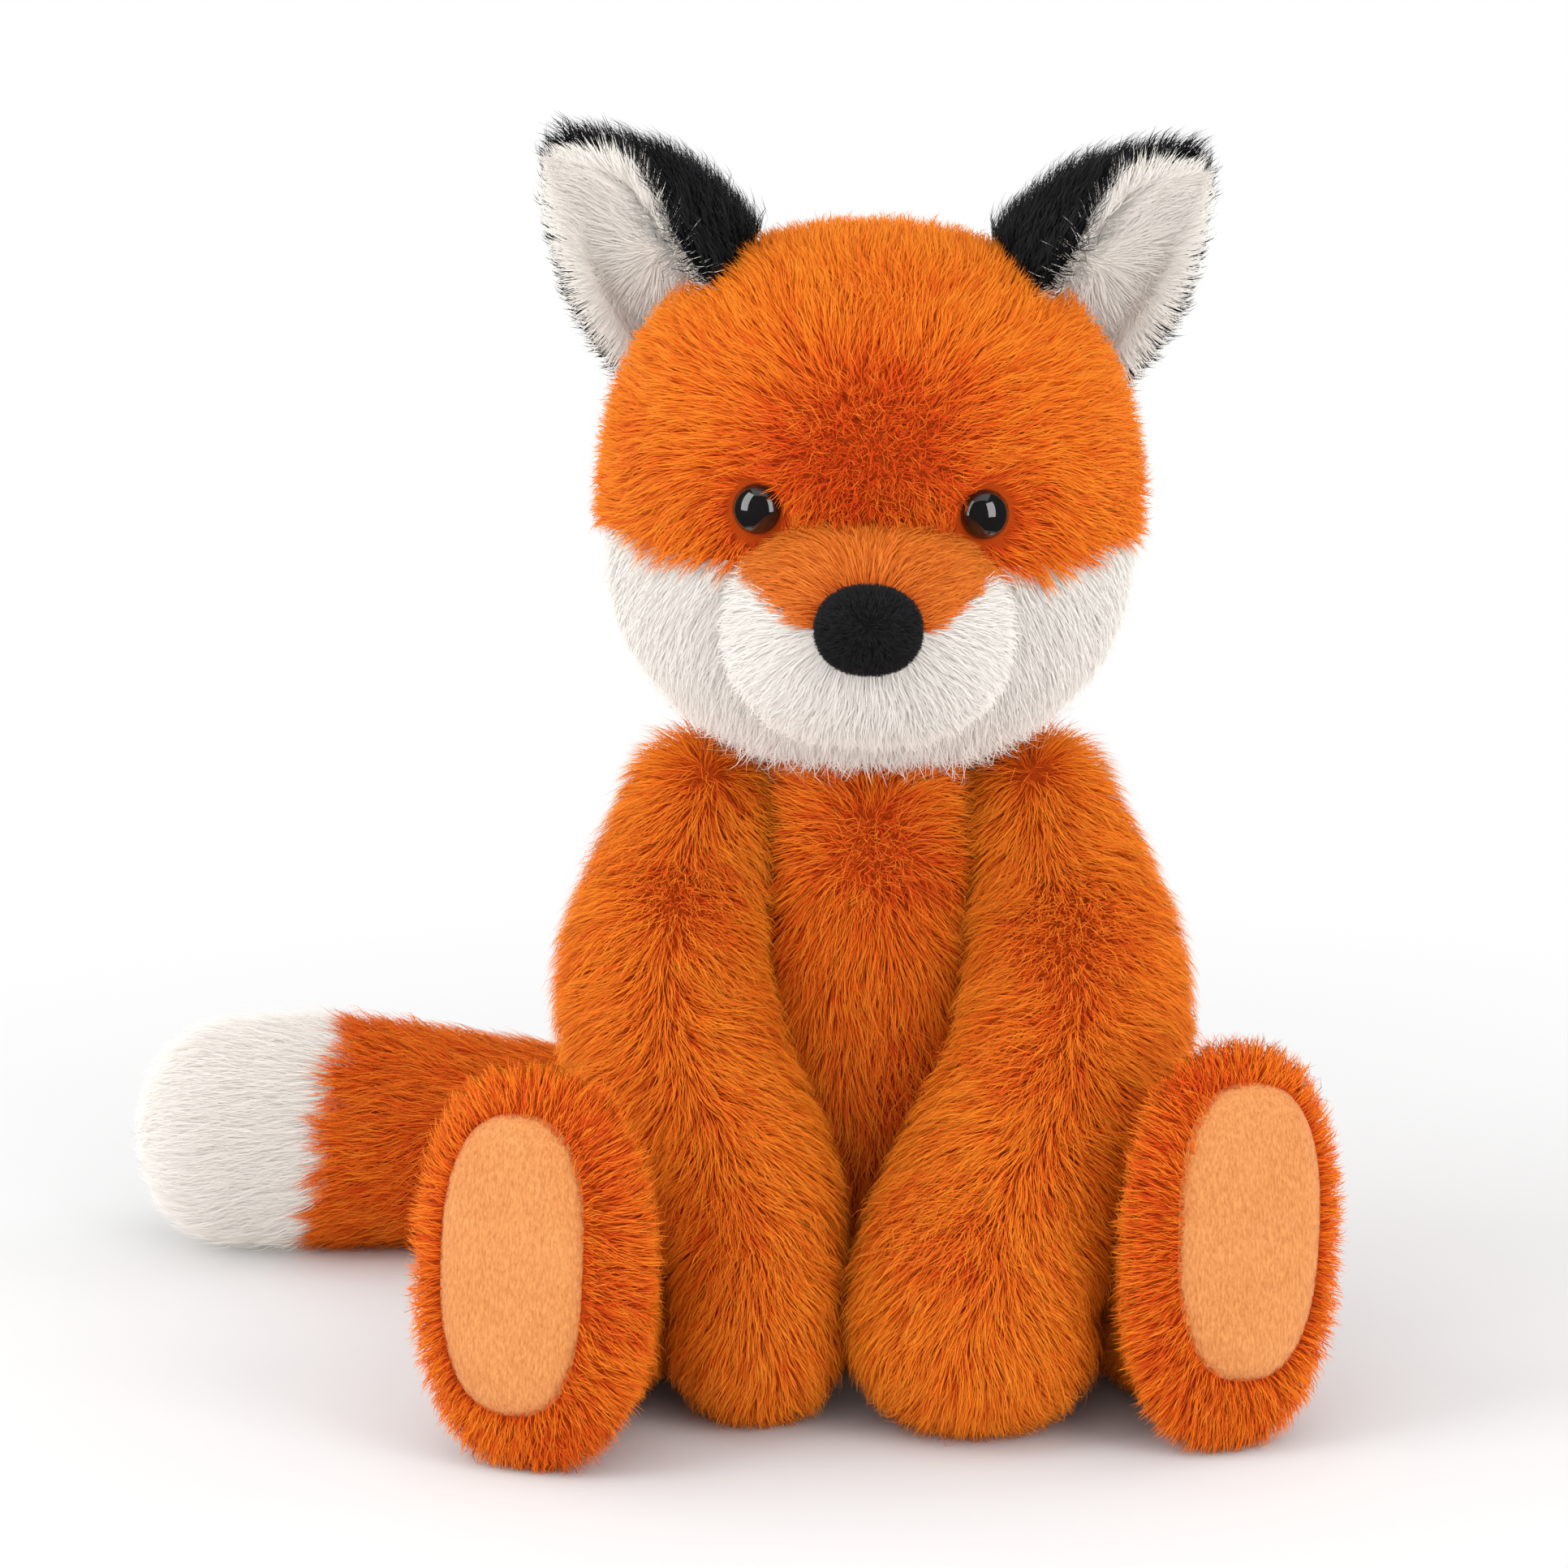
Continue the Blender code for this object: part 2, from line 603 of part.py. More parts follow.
def build_arm(side, sign, stations, torso, pivot, materials):
    cover = limb(f"{side}_arm_cover", stations, ARM_DOMES, 0, pivot, materials["orange"])
    cut(cover, limb(f"{side}_arm_cavity", stations, ARM_DOMES, PILE, pivot))
    stuffing = limb(f"{side}_arm_stuffing", stations, ARM_DOMES, STUFFED, pivot, materials["fibre"])
    flatten_root(side, "arm", sign, SHOULDER_SEAT_X + GAP, stations[0], (cover, stuffing), pivot)
    for piece in (cover, stuffing):
        cut(piece, torso)


def flatten_root(side, limb_name, sign, flat, root, pieces, pivot):
    """Cuts a limb's round root square to its joint's axis, where it is sewn to the torso."""
    middle = (0, root[1], root[2])
    disc = ((0, root[3] + 5), (flat, root[3] + 5))
    tool = turned(f"{side}_{limb_name}_root", disc, middle, Vector((sign, 0, 0)), pivot)
    for piece in pieces:
        cut(piece, tool)


def build_leg(side, sign, stations, foot, torso, pivot, materials):
    frame = foot_frame(*foot)
    cover = limb(f"{side}_leg_cover", stations, LEG_DOMES, 0, pivot, materials["orange"], frame=frame)
    cut(cover, limb(f"{side}_leg_cavity", stations, LEG_DOMES, PILE, pivot, frame=frame))
    stuffing = limb(f"{side}_leg_stuffing", stations, LEG_DOMES, STUFFED, pivot, materials["fibre"], frame=frame)
    flatten_root(side, "leg", sign, HIP_SEAT_X + GAP, stations[0], (cover, stuffing), pivot)
    build_foot_pad(side, stations[-1], frame, (cover, stuffing), pivot, materials)
    for piece in (cover, stuffing):
        cut(piece, torso)


def build_foot_pad(side, sole, frame, pieces, pivot, materials):
    """A crowned oval pad let into the sole, and its room in the leg's cover and stuffing."""
    out, across, up = frame
    aside, rise = PAD_SHIFT[side]
    middle = Vector(sole[:3]) + across * aside + up * rise
    front = LEG_DOMES[1] - PAD_SET_BACK - PAD_CROWN

    def oval(forward, shrink):
        half_width, half_height = PAD_HALF_WIDTH - shrink, PAD_HALF_HEIGHT - shrink
        return ellipse(middle + out * (front + forward), across, up, half_width, half_height, 24, PAD_SQUARENESS)

    rings = [oval(-PAD_THICKNESS, 0), oval(0, 0)]
    rings += [oval(PAD_CROWN * (1 - (1 - t) ** 2), PAD_HALF_WIDTH * t * t) for t in (0.3, 0.55, 0.8)]
    lofted(f"{side}_foot_pad", rings, pivot, materials["peach"])
    room = [oval(-PAD_THICKNESS - GAP, -GAP), oval(40, -GAP)]
    tool = lofted(f"{side}_foot_pad_room", room, pivot)
    for piece in pieces:
        cut(piece, tool)


def build_tail(pivot, materials):
    side = (0, 1, 0)
    cover = limb("tail_cover", TAIL, TAIL_DOMES, 0, pivot, materials["orange"], side)
    tip = limb("tail_tip_cover", TAIL, TAIL_DOMES, 0, pivot, materials["white"], side)
    cavity = limb("tail_cavity", TAIL, TAIL_DOMES, PILE, pivot, side=side)
    opening = turned(
        "tail_opening", ((0, TAIL_OPENING_RADIUS), (25, TAIL_OPENING_RADIUS)), TAIL[0][:3], Vector((0, -1, 0)), pivot
    )
    cut(cover, block("tail_tip_room", (-220, 20, -10), (TAIL_TIP_X, 130, 80), pivot))
    cut(tip, block("tail_tip_part", (-220, 20, -10), (TAIL_TIP_X - GAP, 130, 80), pivot), "INTERSECT")
    for piece in (cover, tip):
        cut(piece, cavity)
    cut(cover, opening)
    limb("tail_stuffing", TAIL, TAIL_DOMES, STUFFED, pivot, materials["fibre"], side)


def main():
    clear_scene()
    materials = {
        "orange": new_material("orange pile", ORANGE, 0.9),
        "brown": new_material("brown orange pile", BROWN_ORANGE, 0.9),
        "white": new_material("white pile", WHITE, 0.9),
        "black": new_material("black pile", BLACK, 0.9),
        "peach": new_material("peach velour", PEACH, 0.85),
        "gloss_black": new_material("glossy black plastic", BLACK, 0.08),
        "nylon": new_material("white nylon", FIBRE, 0.5),
        "fibre": new_material("polyester fibre", FIBRE, 0.95),
        "cloth": new_material("bag cloth", FIBRE, 0.8),
    }
    seat = new_pivot("seat", (0, 0, 0))
    build_torso(seat, materials)
    torso = torso_form("torso_beside_legs", -GAP, TORSO_TOP, seat)
    torso_and_room = torso_form("torso_beside_arms", -GAP, TORSO_TOP, seat, swell=ARM_CLEARANCE)
    build_head(new_pivot("neck", (0, NECK_Y, HEAD_MIDDLE), radians(HEAD_ROLL)), materials)
    limbs = (("left", 1, LEFT_ARM, LEFT_LEG, LEFT_FOOT), ("right", -1, RIGHT_ARM, RIGHT_LEG, RIGHT_FOOT))
    for side, sign, arm, leg, foot in limbs:
        build_arm(side, sign, arm, torso_and_room, new_pivot(f"{side}_shoulder", arm[0][:3]), materials)
        build_leg(side, sign, leg, foot, torso, new_pivot(f"{side}_hip", leg[0][:3]), materials)
    build_tail(new_pivot("tail_root", TAIL[0][:3]), materials)


main()
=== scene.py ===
"""Looks of a seated plush fox: long orange and white pile, velour soles, glossy eyes, and a pale studio.

Places are millimetres in the fox's frame, as in its solids: it faces -Y, its own left is at +X and it sits
on z = 0. They become metres as meshes are made. Every coat is a mesh of tapered strands that grow from a
backing.
"""

import json
from math import asin, cos, pi, radians, sin, sqrt

import bpy
import numpy as np
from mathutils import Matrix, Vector, kdtree

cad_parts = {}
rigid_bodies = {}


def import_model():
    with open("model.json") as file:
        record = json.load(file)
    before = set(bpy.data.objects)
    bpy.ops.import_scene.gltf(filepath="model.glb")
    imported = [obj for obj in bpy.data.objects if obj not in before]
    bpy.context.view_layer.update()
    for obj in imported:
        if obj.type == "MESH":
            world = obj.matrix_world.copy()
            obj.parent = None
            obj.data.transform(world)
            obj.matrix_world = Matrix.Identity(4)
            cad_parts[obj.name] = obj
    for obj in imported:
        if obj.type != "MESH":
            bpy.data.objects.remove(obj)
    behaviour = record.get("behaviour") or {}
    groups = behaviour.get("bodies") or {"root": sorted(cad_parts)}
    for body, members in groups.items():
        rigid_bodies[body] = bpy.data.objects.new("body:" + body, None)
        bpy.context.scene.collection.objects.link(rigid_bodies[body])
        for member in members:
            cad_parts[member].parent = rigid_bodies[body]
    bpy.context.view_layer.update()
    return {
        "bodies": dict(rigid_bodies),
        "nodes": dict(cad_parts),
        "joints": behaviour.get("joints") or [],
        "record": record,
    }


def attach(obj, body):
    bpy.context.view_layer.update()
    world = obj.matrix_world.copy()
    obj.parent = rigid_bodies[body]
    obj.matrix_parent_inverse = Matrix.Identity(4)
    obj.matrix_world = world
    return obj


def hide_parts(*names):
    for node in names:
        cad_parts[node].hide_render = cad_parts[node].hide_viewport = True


MM = 0.001
BACKING = 2.2  # how far under the outline of its solid a coat's backing lies
SIDES = 72  # of a backing's rings
STEPS = 6  # rings to a station
BACKING_LOW = 0.4  # the lowest that a backing reaches over the seat's level
STRAND_LOW = 0.3

# Camera: distance from its target, its height above the horizon and the photograph's framing
CAMERA_TARGET = (0, 0, 139.7)
CAMERA_DISTANCE = 1300
CAMERA_ELEVATION = 12
CAMERA_LENS = 121.1
CAMERA_SHIFT = -0.0549

# Studio. Of each lamp: its place, what it points at, its size, its power and whether mirrors show it.
LAMPS = {
    "left box": ((-1010, -500, 740), (0, 0, 140), (620, 1330), 7.2, True),
    "right box": ((880, -890, 600), (0, 0, 140), (620, 1150), 6.4, True),
    "top": ((0, -100, 1300), (0, 0, 100), (1200, 1200), 2.5, True),
    "front": ((0, -1600, 600), (0, 0, 150), (2400, 1800), 8, False),
    "left edge": ((-1200, 350, 350), (0, 0, 170), (700, 1000), 4.5, False),
    "right edge": ((1200, 350, 350), (0, 0, 170), (700, 1000), 4.5, False),
}
SURROUND = 0.68  # strength of the world's light
FLOOR_TONE = 0.8
FLOOR_FADE = (0.17, 0.5)  # metres from the fox where the floor starts to turn white, and ends
ROOM_COLOUR = (0.03, 0.03, 0.035)  # of the dark room behind the camera, as the eyes show it
ROOM_EDGE = (0.13, 0.22)  # metres from the fox where mirrors see the room instead of the floor

# Torso, as levels of height, middle's y, half width and half depth
TORSO_LEVELS = (
    (0, 2, 41, 35),
    (13, 2, 49, 42),
    (34, 2, 50, 43),
    (60, 1, 45, 38),
    (90, -1, 37, 32),
    (118, -3, 29.5, 28),
    (138, -3, 26, 25),
    (150.6, -3, 22, 22),
)
CHEST_WHORL = (0.6, -32, 129)

# Head: a rounded block that ends in a flat neck opening. Its places are those before it rolls.
HEAD_PIVOT = (0, -3, 209)
HEAD_ROLL = 1.3
HEAD_TOP = 277
HEAD_MIDDLE = 209
HEAD_BOTTOM = 149
HEAD_CENTRE_Y = -4
HEAD_HALF_WIDTH = 64.5
HEAD_HALF_DEPTH = 55
NECK_HEIGHT = 151.5
WHITE_FACE_TOP = 203
WHITE_FACE_BACK = 12
FOREHEAD_WHORL = (0.5, -57, 232)

# Muzzle, along -Y, and nose
MUZZLE_ROOT_Y = -26
MUZZLE_STRAIGHT_Y = -44
MUZZLE_TIP_Y = -89
MUZZLE_Z = 187.5
MUZZLE_RISE = 5
MUZZLE_HALF_WIDTH = 34
MUZZLE_HALF_HEIGHT = 26
MUZZLE_SQUARENESS = 2.5
MUZZLE_SEAM_LOW = 186.3
MUZZLE_SEAM_SLOPE = 0.63
NOSE_CENTRE = (0, -89.5, 194.5)
NOSE_HALF_SIZE = (12.3, 8.5, 10.3)

# Eyes
EYE_RADIUS = 6
EYE_X = 27.5
EYE_Z = 216
EYE_SIDES = 48

# Ears: cups whose level sections are arcs. Of two values, the first is at the base and the second at the tip.
EAR_BASE = (46.8, 0, 257.5)
EAR_LEAN = 37
EAR_HEIGHT = 48.5
EAR_HALF_WIDTH = 25.2
EAR_ROOT = 20
EAR_RADIUS = (25.7, 14)
EAR_TURN = (40, 26)
EAR_AXIS_FORWARD = (-1, 10.6)

# Limbs and tail, as stations of x, y, z, half width and half depth
RIGHT_ARM = (
    (-40, -4, 133, 19, 19),
    (-46, -12, 117, 21.5, 20.5),
    (-50.5, -26, 97, 24, 22.5),
    (-45, -41, 76, 24.5, 22.5),
    (-32.5, -55, 55, 22.5, 22),
    (-27.8, -65, 36, 20.5, 22.5),
    (-27.2, -68, 24, 20.3, 22),
)
LEFT_ARM = (
    (40, -4, 133, 19, 19),
    (46, -12, 117, 22, 20.5),
    (50, -27, 97, 25.5, 23),
    (47, -43, 76, 27, 23),
    (35.5, -59, 55, 28, 23),
    (25.5, -73, 36, 27.8, 23.5),
    (24.3, -77.5, 24.5, 27.8, 23.5),
)
ARM_DOMES = (19, 23.5)
# Where an arm's coat is curly: a place and how far round it
ARM_WHORLS = {"left": ((47, -42, 114), 25), "right": ((-45, -34, 122), 15)}
RIGHT_LEG = (
    (-51, -14, 24, 19, 19),
    (-60.5, -40, 22, 19, 19.5),
    (-68, -64, 24, 19.5, 22),
    (-72.5, -80, 30, 22, 28),
    (-75.5, -91, 41, 26, 39.5),
    (-78, -101, 46.3, 28.5, 46),
)
LEFT_LEG = (
    (51, -12, 24, 19, 19),
    (61.5, -33, 22, 19, 19.5),
    (72.5, -52, 24, 19, 22),
    (78.5, -66, 31, 21.5, 29),
    (82, -77, 42.5, 24.5, 41),
    (84.5, -86.5, 47.5, 26.7, 47),
)
LEG_DOMES = (19, 12)
TAIL = (
    (-16, 58.5, 25, 15, 15),
    (-38, 70, 26, 20, 20),
    (-65, 75, 26, 22.5, 22.3),
    (-101, 76, 27.5, 26, 26),
    (-141, 76, 29.5, 29, 29),
    (-163, 76, 29.5, 28.5, 28.5),
)
TAIL_DOMES = (15, 27)
TAIL_TIP_X = -142.5

# Feet: degrees that a leg turns outward, that its sole leans back and that it rolls outward
FEET = {"left": (24, 8, 6), "right": (-20, 8, -1)}
PAD_HALF_WIDTH = 18.6
PAD_HALF_HEIGHT = 34.7
PAD_SQUARENESS = 2.5
PAD_SHIFT = {"left": (1, 3.7), "right": (-1.8, 1.5)}
PAD_FORWARD = 7.5  # of its rim, from the middle of the sole
PAD_HEM = 1.5  # how far the coat reaches over its rim

GLOW = (0, -0.75, 0.65)  # where thin pile takes up light from, whichever way it faces

# Roots to a square millimetre of backing. The head's and the tail's are thinned where they are orange.
DENSITY = {
    "head": 4.8, "muzzle": 5.5, "nose": 11, "ear back": 3.2, "ear front": 4.6, "torso": 2.3, "limb": 2.6,
    "tail": 4.8,
}
HEAD_THINNING = 0.5
TAIL_THINNING = 0.56

# Two layers of a coat: name, share of the strands, and their length, tone and clumping beside the coat's own
LAYERS = (("under", 0.5, 0.86, -0.17, 1.1), ("top", 0.5, 1.1, 0.17, 0.8))

# Colours of strands, linear: root, middle and tip, of a dark strand and of a light one
# The orange roots are dark and red partly as the pile's own tone and partly as painted shade: the deeper,
# redder light low in the pile.
ORANGE_COAT = (
    ((0.36, 0.012, 0.001), (0.70, 0.038, 0.002), (0.86, 0.078, 0.003)),
    ((0.78, 0.065, 0.002), (0.96, 0.182, 0.006), (1.0, 0.33, 0.024)),
)
BROWN_COAT = (
    ((0.46, 0.055, 0.004), (0.58, 0.085, 0.007), (0.66, 0.115, 0.010)),
    ((0.60, 0.080, 0.006), (0.82, 0.16, 0.014), (0.94, 0.28, 0.04)),
)
WHITE_COAT = (
    ((0.89, 0.82, 0.74), (0.90, 0.84, 0.77), (0.92, 0.87, 0.80)),
    ((0.90, 0.84, 0.77), (0.92, 0.86, 0.80), (0.94, 0.89, 0.83)),
)
BLACK_COAT = (
    ((0.003, 0.003, 0.003), (0.004, 0.004, 0.004), (0.006, 0.006, 0.006)),
    ((0.005, 0.005, 0.005), (0.012, 0.012, 0.013), (0.032, 0.032, 0.035)),
)

# What sets each coat apart from the values that strands and ribbons take when nothing is given
COATS = {
    "orange": {"width": 0.23, "clump": 0.44, "clump_size": 2.5, "patchy": 0.5, "sway": 0.3},
    "white": {
        "width": 0.19, "clump": 0.03, "kink": 0.1, "glint": 0.02, "sway": 0.14, "glow": 0.8, "uneven": 0.35,
        "lift_spread": 8, "shadow": False,
    },
    "brown": {"width": 0.24, "clump": 0.45, "spread": 0.36},
    "nose": {"width": 0.2, "clump": 0.3, "clump_size": 2, "curl": 0.45},
    "ear back": {"width": 0.26, "lift_spread": 16, "uneven": 0.35},
}


def unit(vectors):
    return vectors / np.maximum(np.linalg.norm(vectors, axis=-1, keepdims=True), 1e-9)


def dot(a, b):
    return (a * b).sum(-1, keepdims=True)


def ease(value, low, high):
    """0 at low and 1 at high, with a smooth step between."""
    t = np.clip((value - low) / (high - low), 0, 1)
    return t * t * (3 - 2 * t)


def waves(points, length, seed):
    """A smooth field between about -1 and 1 that varies over the given length."""
    rng = np.random.default_rng(seed)
    total = np.zeros(len(points))
    for _ in range(5):
        direction = unit(rng.normal(size=3)) * (2 * pi / (length * rng.uniform(0.7, 1.4)))
        total += np.sin(points @ direction + rng.uniform(0, 2 * pi))
    return total / 2.5


class Form:
    """A closed smooth form through rings of equal counts, capped at its first and last ring."""

    def __init__(self, rings):
        self.points = np.array(rings)
        around = np.roll(self.points, -1, 1) - np.roll(self.points, 1, 1)
        normals = np.cross(around, np.gradient(self.points, axis=0))
        outward = dot(self.points - self.points.mean(1, keepdims=True), normals).sum()
        self.normals = unit(normals) * np.sign(outward)

    def scatter(self, per_mm2, seed):
        """Evenly spread points: their places, normals, rows and columns."""
        rng = np.random.default_rng(seed)
        low, high = self.points[:-1], self.points[1:]
        low_next, high_next = np.roll(low, -1, 1), np.roll(high, -1, 1)
        area = np.linalg.norm(np.cross(high_next - low, high - low_next), axis=-1).ravel() / 2
        count = int(area.sum() * per_mm2)
        spots = (np.arange(count) + rng.random(count)) / count * area.sum()
        cells = np.minimum(np.searchsorted(np.cumsum(area), spots), len(area) - 1)
        rows, columns = np.divmod(cells, self.points.shape[1])
        s, t = rng.random((2, count, 1))
        found = []
        for grid in (self.points, self.normals):
            following = np.roll(grid, -1, 1)
            a, b = grid[rows, columns], following[rows, columns]
            c, d = grid[rows + 1, columns], following[rows + 1, columns]
            found.append((a * (1 - s) + b * s) * (1 - t) + (c * (1 - s) + d * s) * t)
        return found[0], unit(found[1]), rows + t[:, 0], columns + s[:, 0]


def turn_head(points, normals=None):
    """Rolls the head's places, and normals, to where they lie on the fox."""
    roll = radians(HEAD_ROLL)
    matrix = np.array(((cos(roll), 0, sin(roll)), (0, 1, 0), (-sin(roll), 0, cos(roll))))
    pivot = np.array(HEAD_PIVOT)
    turned = (np.asarray(points) - pivot) @ matrix.T + pivot
    return turned if normals is None else (turned, normals @ matrix.T)


def ellipse(centre, across, up, half_across, half_up, squareness=2.0, sides=SIDES):
    angles = 2 * pi * np.arange(sides) / sides
    x, y = np.cos(angles), np.sin(angles)
    reach = (abs(x) ** squareness + abs(y) ** squareness) ** (-1 / squareness)
    return np.asarray(centre) + np.outer(half_across * x * reach, across) + np.outer(half_up * y * reach, up)


def smoothed(stations, steps=STEPS):
    """Points of a Catmull-Rom curve through the stations, whatever number of values each has."""
    points = np.array(stations, float)
    points = np.vstack([2 * points[0] - points[1], points, 2 * points[-1] - points[-2]])
    found = []
    for before, a, b, after in zip(points, points[1:], points[2:], points[3:]):
        for t in np.arange(steps) / steps:
            bend = 2 * before - 5 * a + 4 * b - after
            found.append(a + 0.5 * t * (b - before + t * (bend + t * (3 * (a - b) + after - before))))
    return np.array([*found, points[-2]])


def foot_frame(turn, lean, roll):
    """Which way a sole looks, and the directions across and up it."""
    turn, lean, roll = map(radians, (turn, lean, roll))
    level = np.array((cos(turn), sin(turn), 0))
    out = np.array((sin(turn) * cos(lean), -cos(turn) * cos(lean), sin(lean)))
    rise = np.cross(level, -out)
    return out, level * cos(roll) - rise * sin(roll), level * sin(roll) + rise * cos(roll)


def limb_form(stations, domes, inset, side=(1, 0, 0), frame=None, squareness=(2.0, 2.0)):
    """A limb with a rounded end beyond its first and last station, as in its solid."""
    path = smoothed(stations)
    middles = path[:, :3]
    frames = []
    for along in unit(np.gradient(middles, axis=0)):
        across = unit(np.asarray(side) - along * np.dot(along, side))
        frames.append(frame or (along, across, np.cross(along, across)))
    fullness = np.linspace(*squareness, len(path))
    rings = []
    for point, (_, across, up), full in zip(path, frames, fullness):
        rings.append(ellipse(point[:3], across, up, point[3] - inset, point[4] - inset, full))
    for end, reach, sign in ((0, domes[0] - inset, -1), (-1, domes[1] - inset, 1)):
        along, across, up = frames[end]
        half_across, half_up = path[end][3] - inset, path[end][4] - inset
        dome = []
        for angle in np.radians((10, 20, 30, 40, 50, 60, 70, 78, 84, 89)):
            middle = middles[end] + along * (sign * reach * sin(angle))
            size = half_across * cos(angle), half_up * cos(angle)
            dome.append(ellipse(middle, across, up, *size, fullness[end]))
        rings = rings + dome if sign > 0 else dome[::-1] + rings
    return Form(rings)


def torso_form(inset):
    across, back = (1, 0, 0), (0, 1, 0)
    levels = smoothed(TORSO_LEVELS)
    rings = []
    for share in (0.02, 0.3, 0.6, 0.85):
        rings.append(ellipse((0, 2, inset), across, back, 39 * share, 33 * share))
    for z, middle_y, half_width, half_depth in levels:
        height = inset + z * (levels[-1][0] - inset) / levels[-1][0]
        rings.append(ellipse((0, middle_y, height), across, back, half_width - inset, half_depth - inset))
    top, middle_y, half_width, half_depth = levels[-1]
    for share in (0.6, 0.02):
        rings.append(ellipse((0, middle_y, top), across, back, half_width * share, half_depth * share))
    return Form(rings)


def head_scale(z, inset=0.0):
    """How wide the head is at heights z, as a share of its full width."""
    above = z > HEAD_MIDDLE
    reach = np.where(above, HEAD_TOP - HEAD_MIDDLE, HEAD_MIDDLE - HEAD_BOTTOM) - inset
    share = np.minimum(abs(z - HEAD_MIDDLE) / reach, 1)
    return (1 - share ** np.where(above, 2.3, 2.8)) ** (1 / 2.2)


def head_form(inset):
    top = HEAD_TOP - inset
    heights = [HEAD_MIDDLE + (top - HEAD_MIDDLE) * cos(radians(a)) for a in (1, 5, 10, 16, *range(22, 91, 6))]
    low = NECK_HEIGHT
    heights += [HEAD_MIDDLE + (low - HEAD_MIDDLE) * sin(radians(a)) for a in range(6, 91, 6)]
    rings = []
    for z in heights:
        scale = float(head_scale(z, inset))
        size = (HEAD_HALF_WIDTH - inset) * scale, (HEAD_HALF_DEPTH - inset) * scale
        rings.append(ellipse((0, HEAD_CENTRE_Y, z), (1, 0, 0), (0, 1, 0), *size))
    for share in (0.6, 0.02):
        rings.append(ellipse((0, HEAD_CENTRE_Y, low), (1, 0, 0), (0, 1, 0), size[0] * share, size[1] * share))
    return Form(rings)


def muzzle_form(inset):
    tip = MUZZLE_TIP_Y + inset
    half_width, half_height = MUZZLE_HALF_WIDTH - inset, MUZZLE_HALF_HEIGHT - inset
    steps = [(MUZZLE_ROOT_Y, 0.0, 0.02), (MUZZLE_ROOT_Y, 0.0, 1.0)]
    for angle in np.radians((0, 8, 16, 24, 32, 40, 48, 55, 62, 68, 74, 80, 85, 88)):
        share = sin(angle)
        y = MUZZLE_STRAIGHT_Y + (tip - MUZZLE_STRAIGHT_Y) * share
        steps.append((y, MUZZLE_RISE * share**2, (1 - share**2.4) ** (1 / 2.2)))
    rings = []
    for y, rise, scale in steps:
        size = half_width * scale, half_height * scale
        rings.append(ellipse((0, y, MUZZLE_Z + rise), (1, 0, 0), (0, 0, 1), *size, MUZZLE_SQUARENESS))
    return Form(rings)


def nose_form(inset):
    centre, half = np.array(NOSE_CENTRE), np.array(NOSE_HALF_SIZE) - inset
    rings = []
    for angle in np.radians((2, 12, *range(24, 157, 12), 168, 178)):
        middle = centre - (0, half[1] * cos(angle), 0)
        rings.append(ellipse(middle, (1, 0, 0), (0, 0, 1), half[0] * sin(angle), half[2] * sin(angle), 2.2))
    return Form(rings)


def ear_section(v):
    """An ear's section at height v: radius, turn, half angle of its arc, and its middle aside and forward."""
    share = max(v / EAR_HEIGHT, 0)
    half_width = EAR_HALF_WIDTH * (1 - share**2.5) ** 0.8
    radius, turn, forward = (a + (b - a) * share**2 for a, b in (EAR_RADIUS, EAR_TURN, EAR_AXIS_FORWARD))
    turn = radians(turn)
    if half_width > radius * cos(turn) ** 2:
        half_angle = turn + asin(2 * half_width / radius - 1)
        reach = radius
    else:
        half_angle = asin(half_width / (radius * cos(turn)))
        reach = radius * sin(half_angle + turn)
    return radius, turn, half_angle, reach - half_width, forward


def ear_frame(sign):
    """The middle of an ear's base, and the directions up the ear and out of its side."""
    lean = radians(EAR_LEAN)
    base = np.array((sign * EAR_BASE[0], EAR_BASE[1], EAR_BASE[2]))
    return base, np.array((sign * sin(lean), 0, cos(lean))), np.array((sign * cos(lean), 0, -sin(lean)))


def ear_form(sign, low, high, inset, fill=0.0):
    """One cupped panel of an ear between two depths: its outer side, then its inner side, round each ring.

    Fill, from 0 to 1, raises its inner side towards a flat one.
    """
    base, up, outward = ear_frame(sign)
    front = np.array((0, -1, 0))
    height = EAR_HEIGHT - inset
    shares = (0, 0.12, 0.24, 0.36, 0.48, 0.58, 0.68, 0.76, 0.83, 0.89, 0.94, 0.975, 0.992)
    turns = np.linspace(-1, 1, 25)
    middle_depth = (low + high) / 2
    rings = []
    for v in (-EAR_ROOT, -EAR_ROOT / 2, *(height * share for share in shares)):
        radius, turn, half_angle, aside, forward = ear_section(v)
        middle = base + up * v + outward * aside + front * forward
        ring = []
        for level, sweep, flat in ((low, turns, 0.0), (high, turns[::-1], fill)):
            angle = (half_angle - inset / radius) * np.sin(pi / 2 * sweep) - turn
            swell = 0.3 + 0.7 * np.sqrt(1 - 0.9 * sweep**4)
            far = radius - middle_depth - (level - middle_depth) * swell
            line = middle + np.outer(far * np.sin(angle), outward) - np.outer(far * np.cos(angle), front)
            chord = unit(line[-1] - line[0])
            level_line = line[0] + np.outer((line - line[0]) @ chord, chord)
            ring.append(line + flat * (level_line - line))
        rings.append(np.vstack(ring))
    return Form(rings)


def inside_head(points, margin):
    """Whether places lie in the head, or nearer to it than the margin."""
    scale = head_scale(points[:, 2], -margin)
    x = points[:, 0] / ((HEAD_HALF_WIDTH + margin) * scale + 1e-6)
    y = (points[:, 1] - HEAD_CENTRE_Y) / ((HEAD_HALF_DEPTH + margin) * scale + 1e-6)
    return (x * x + y * y < 1) & (points[:, 2] < HEAD_TOP + margin) & (points[:, 2] > NECK_HEIGHT - margin)


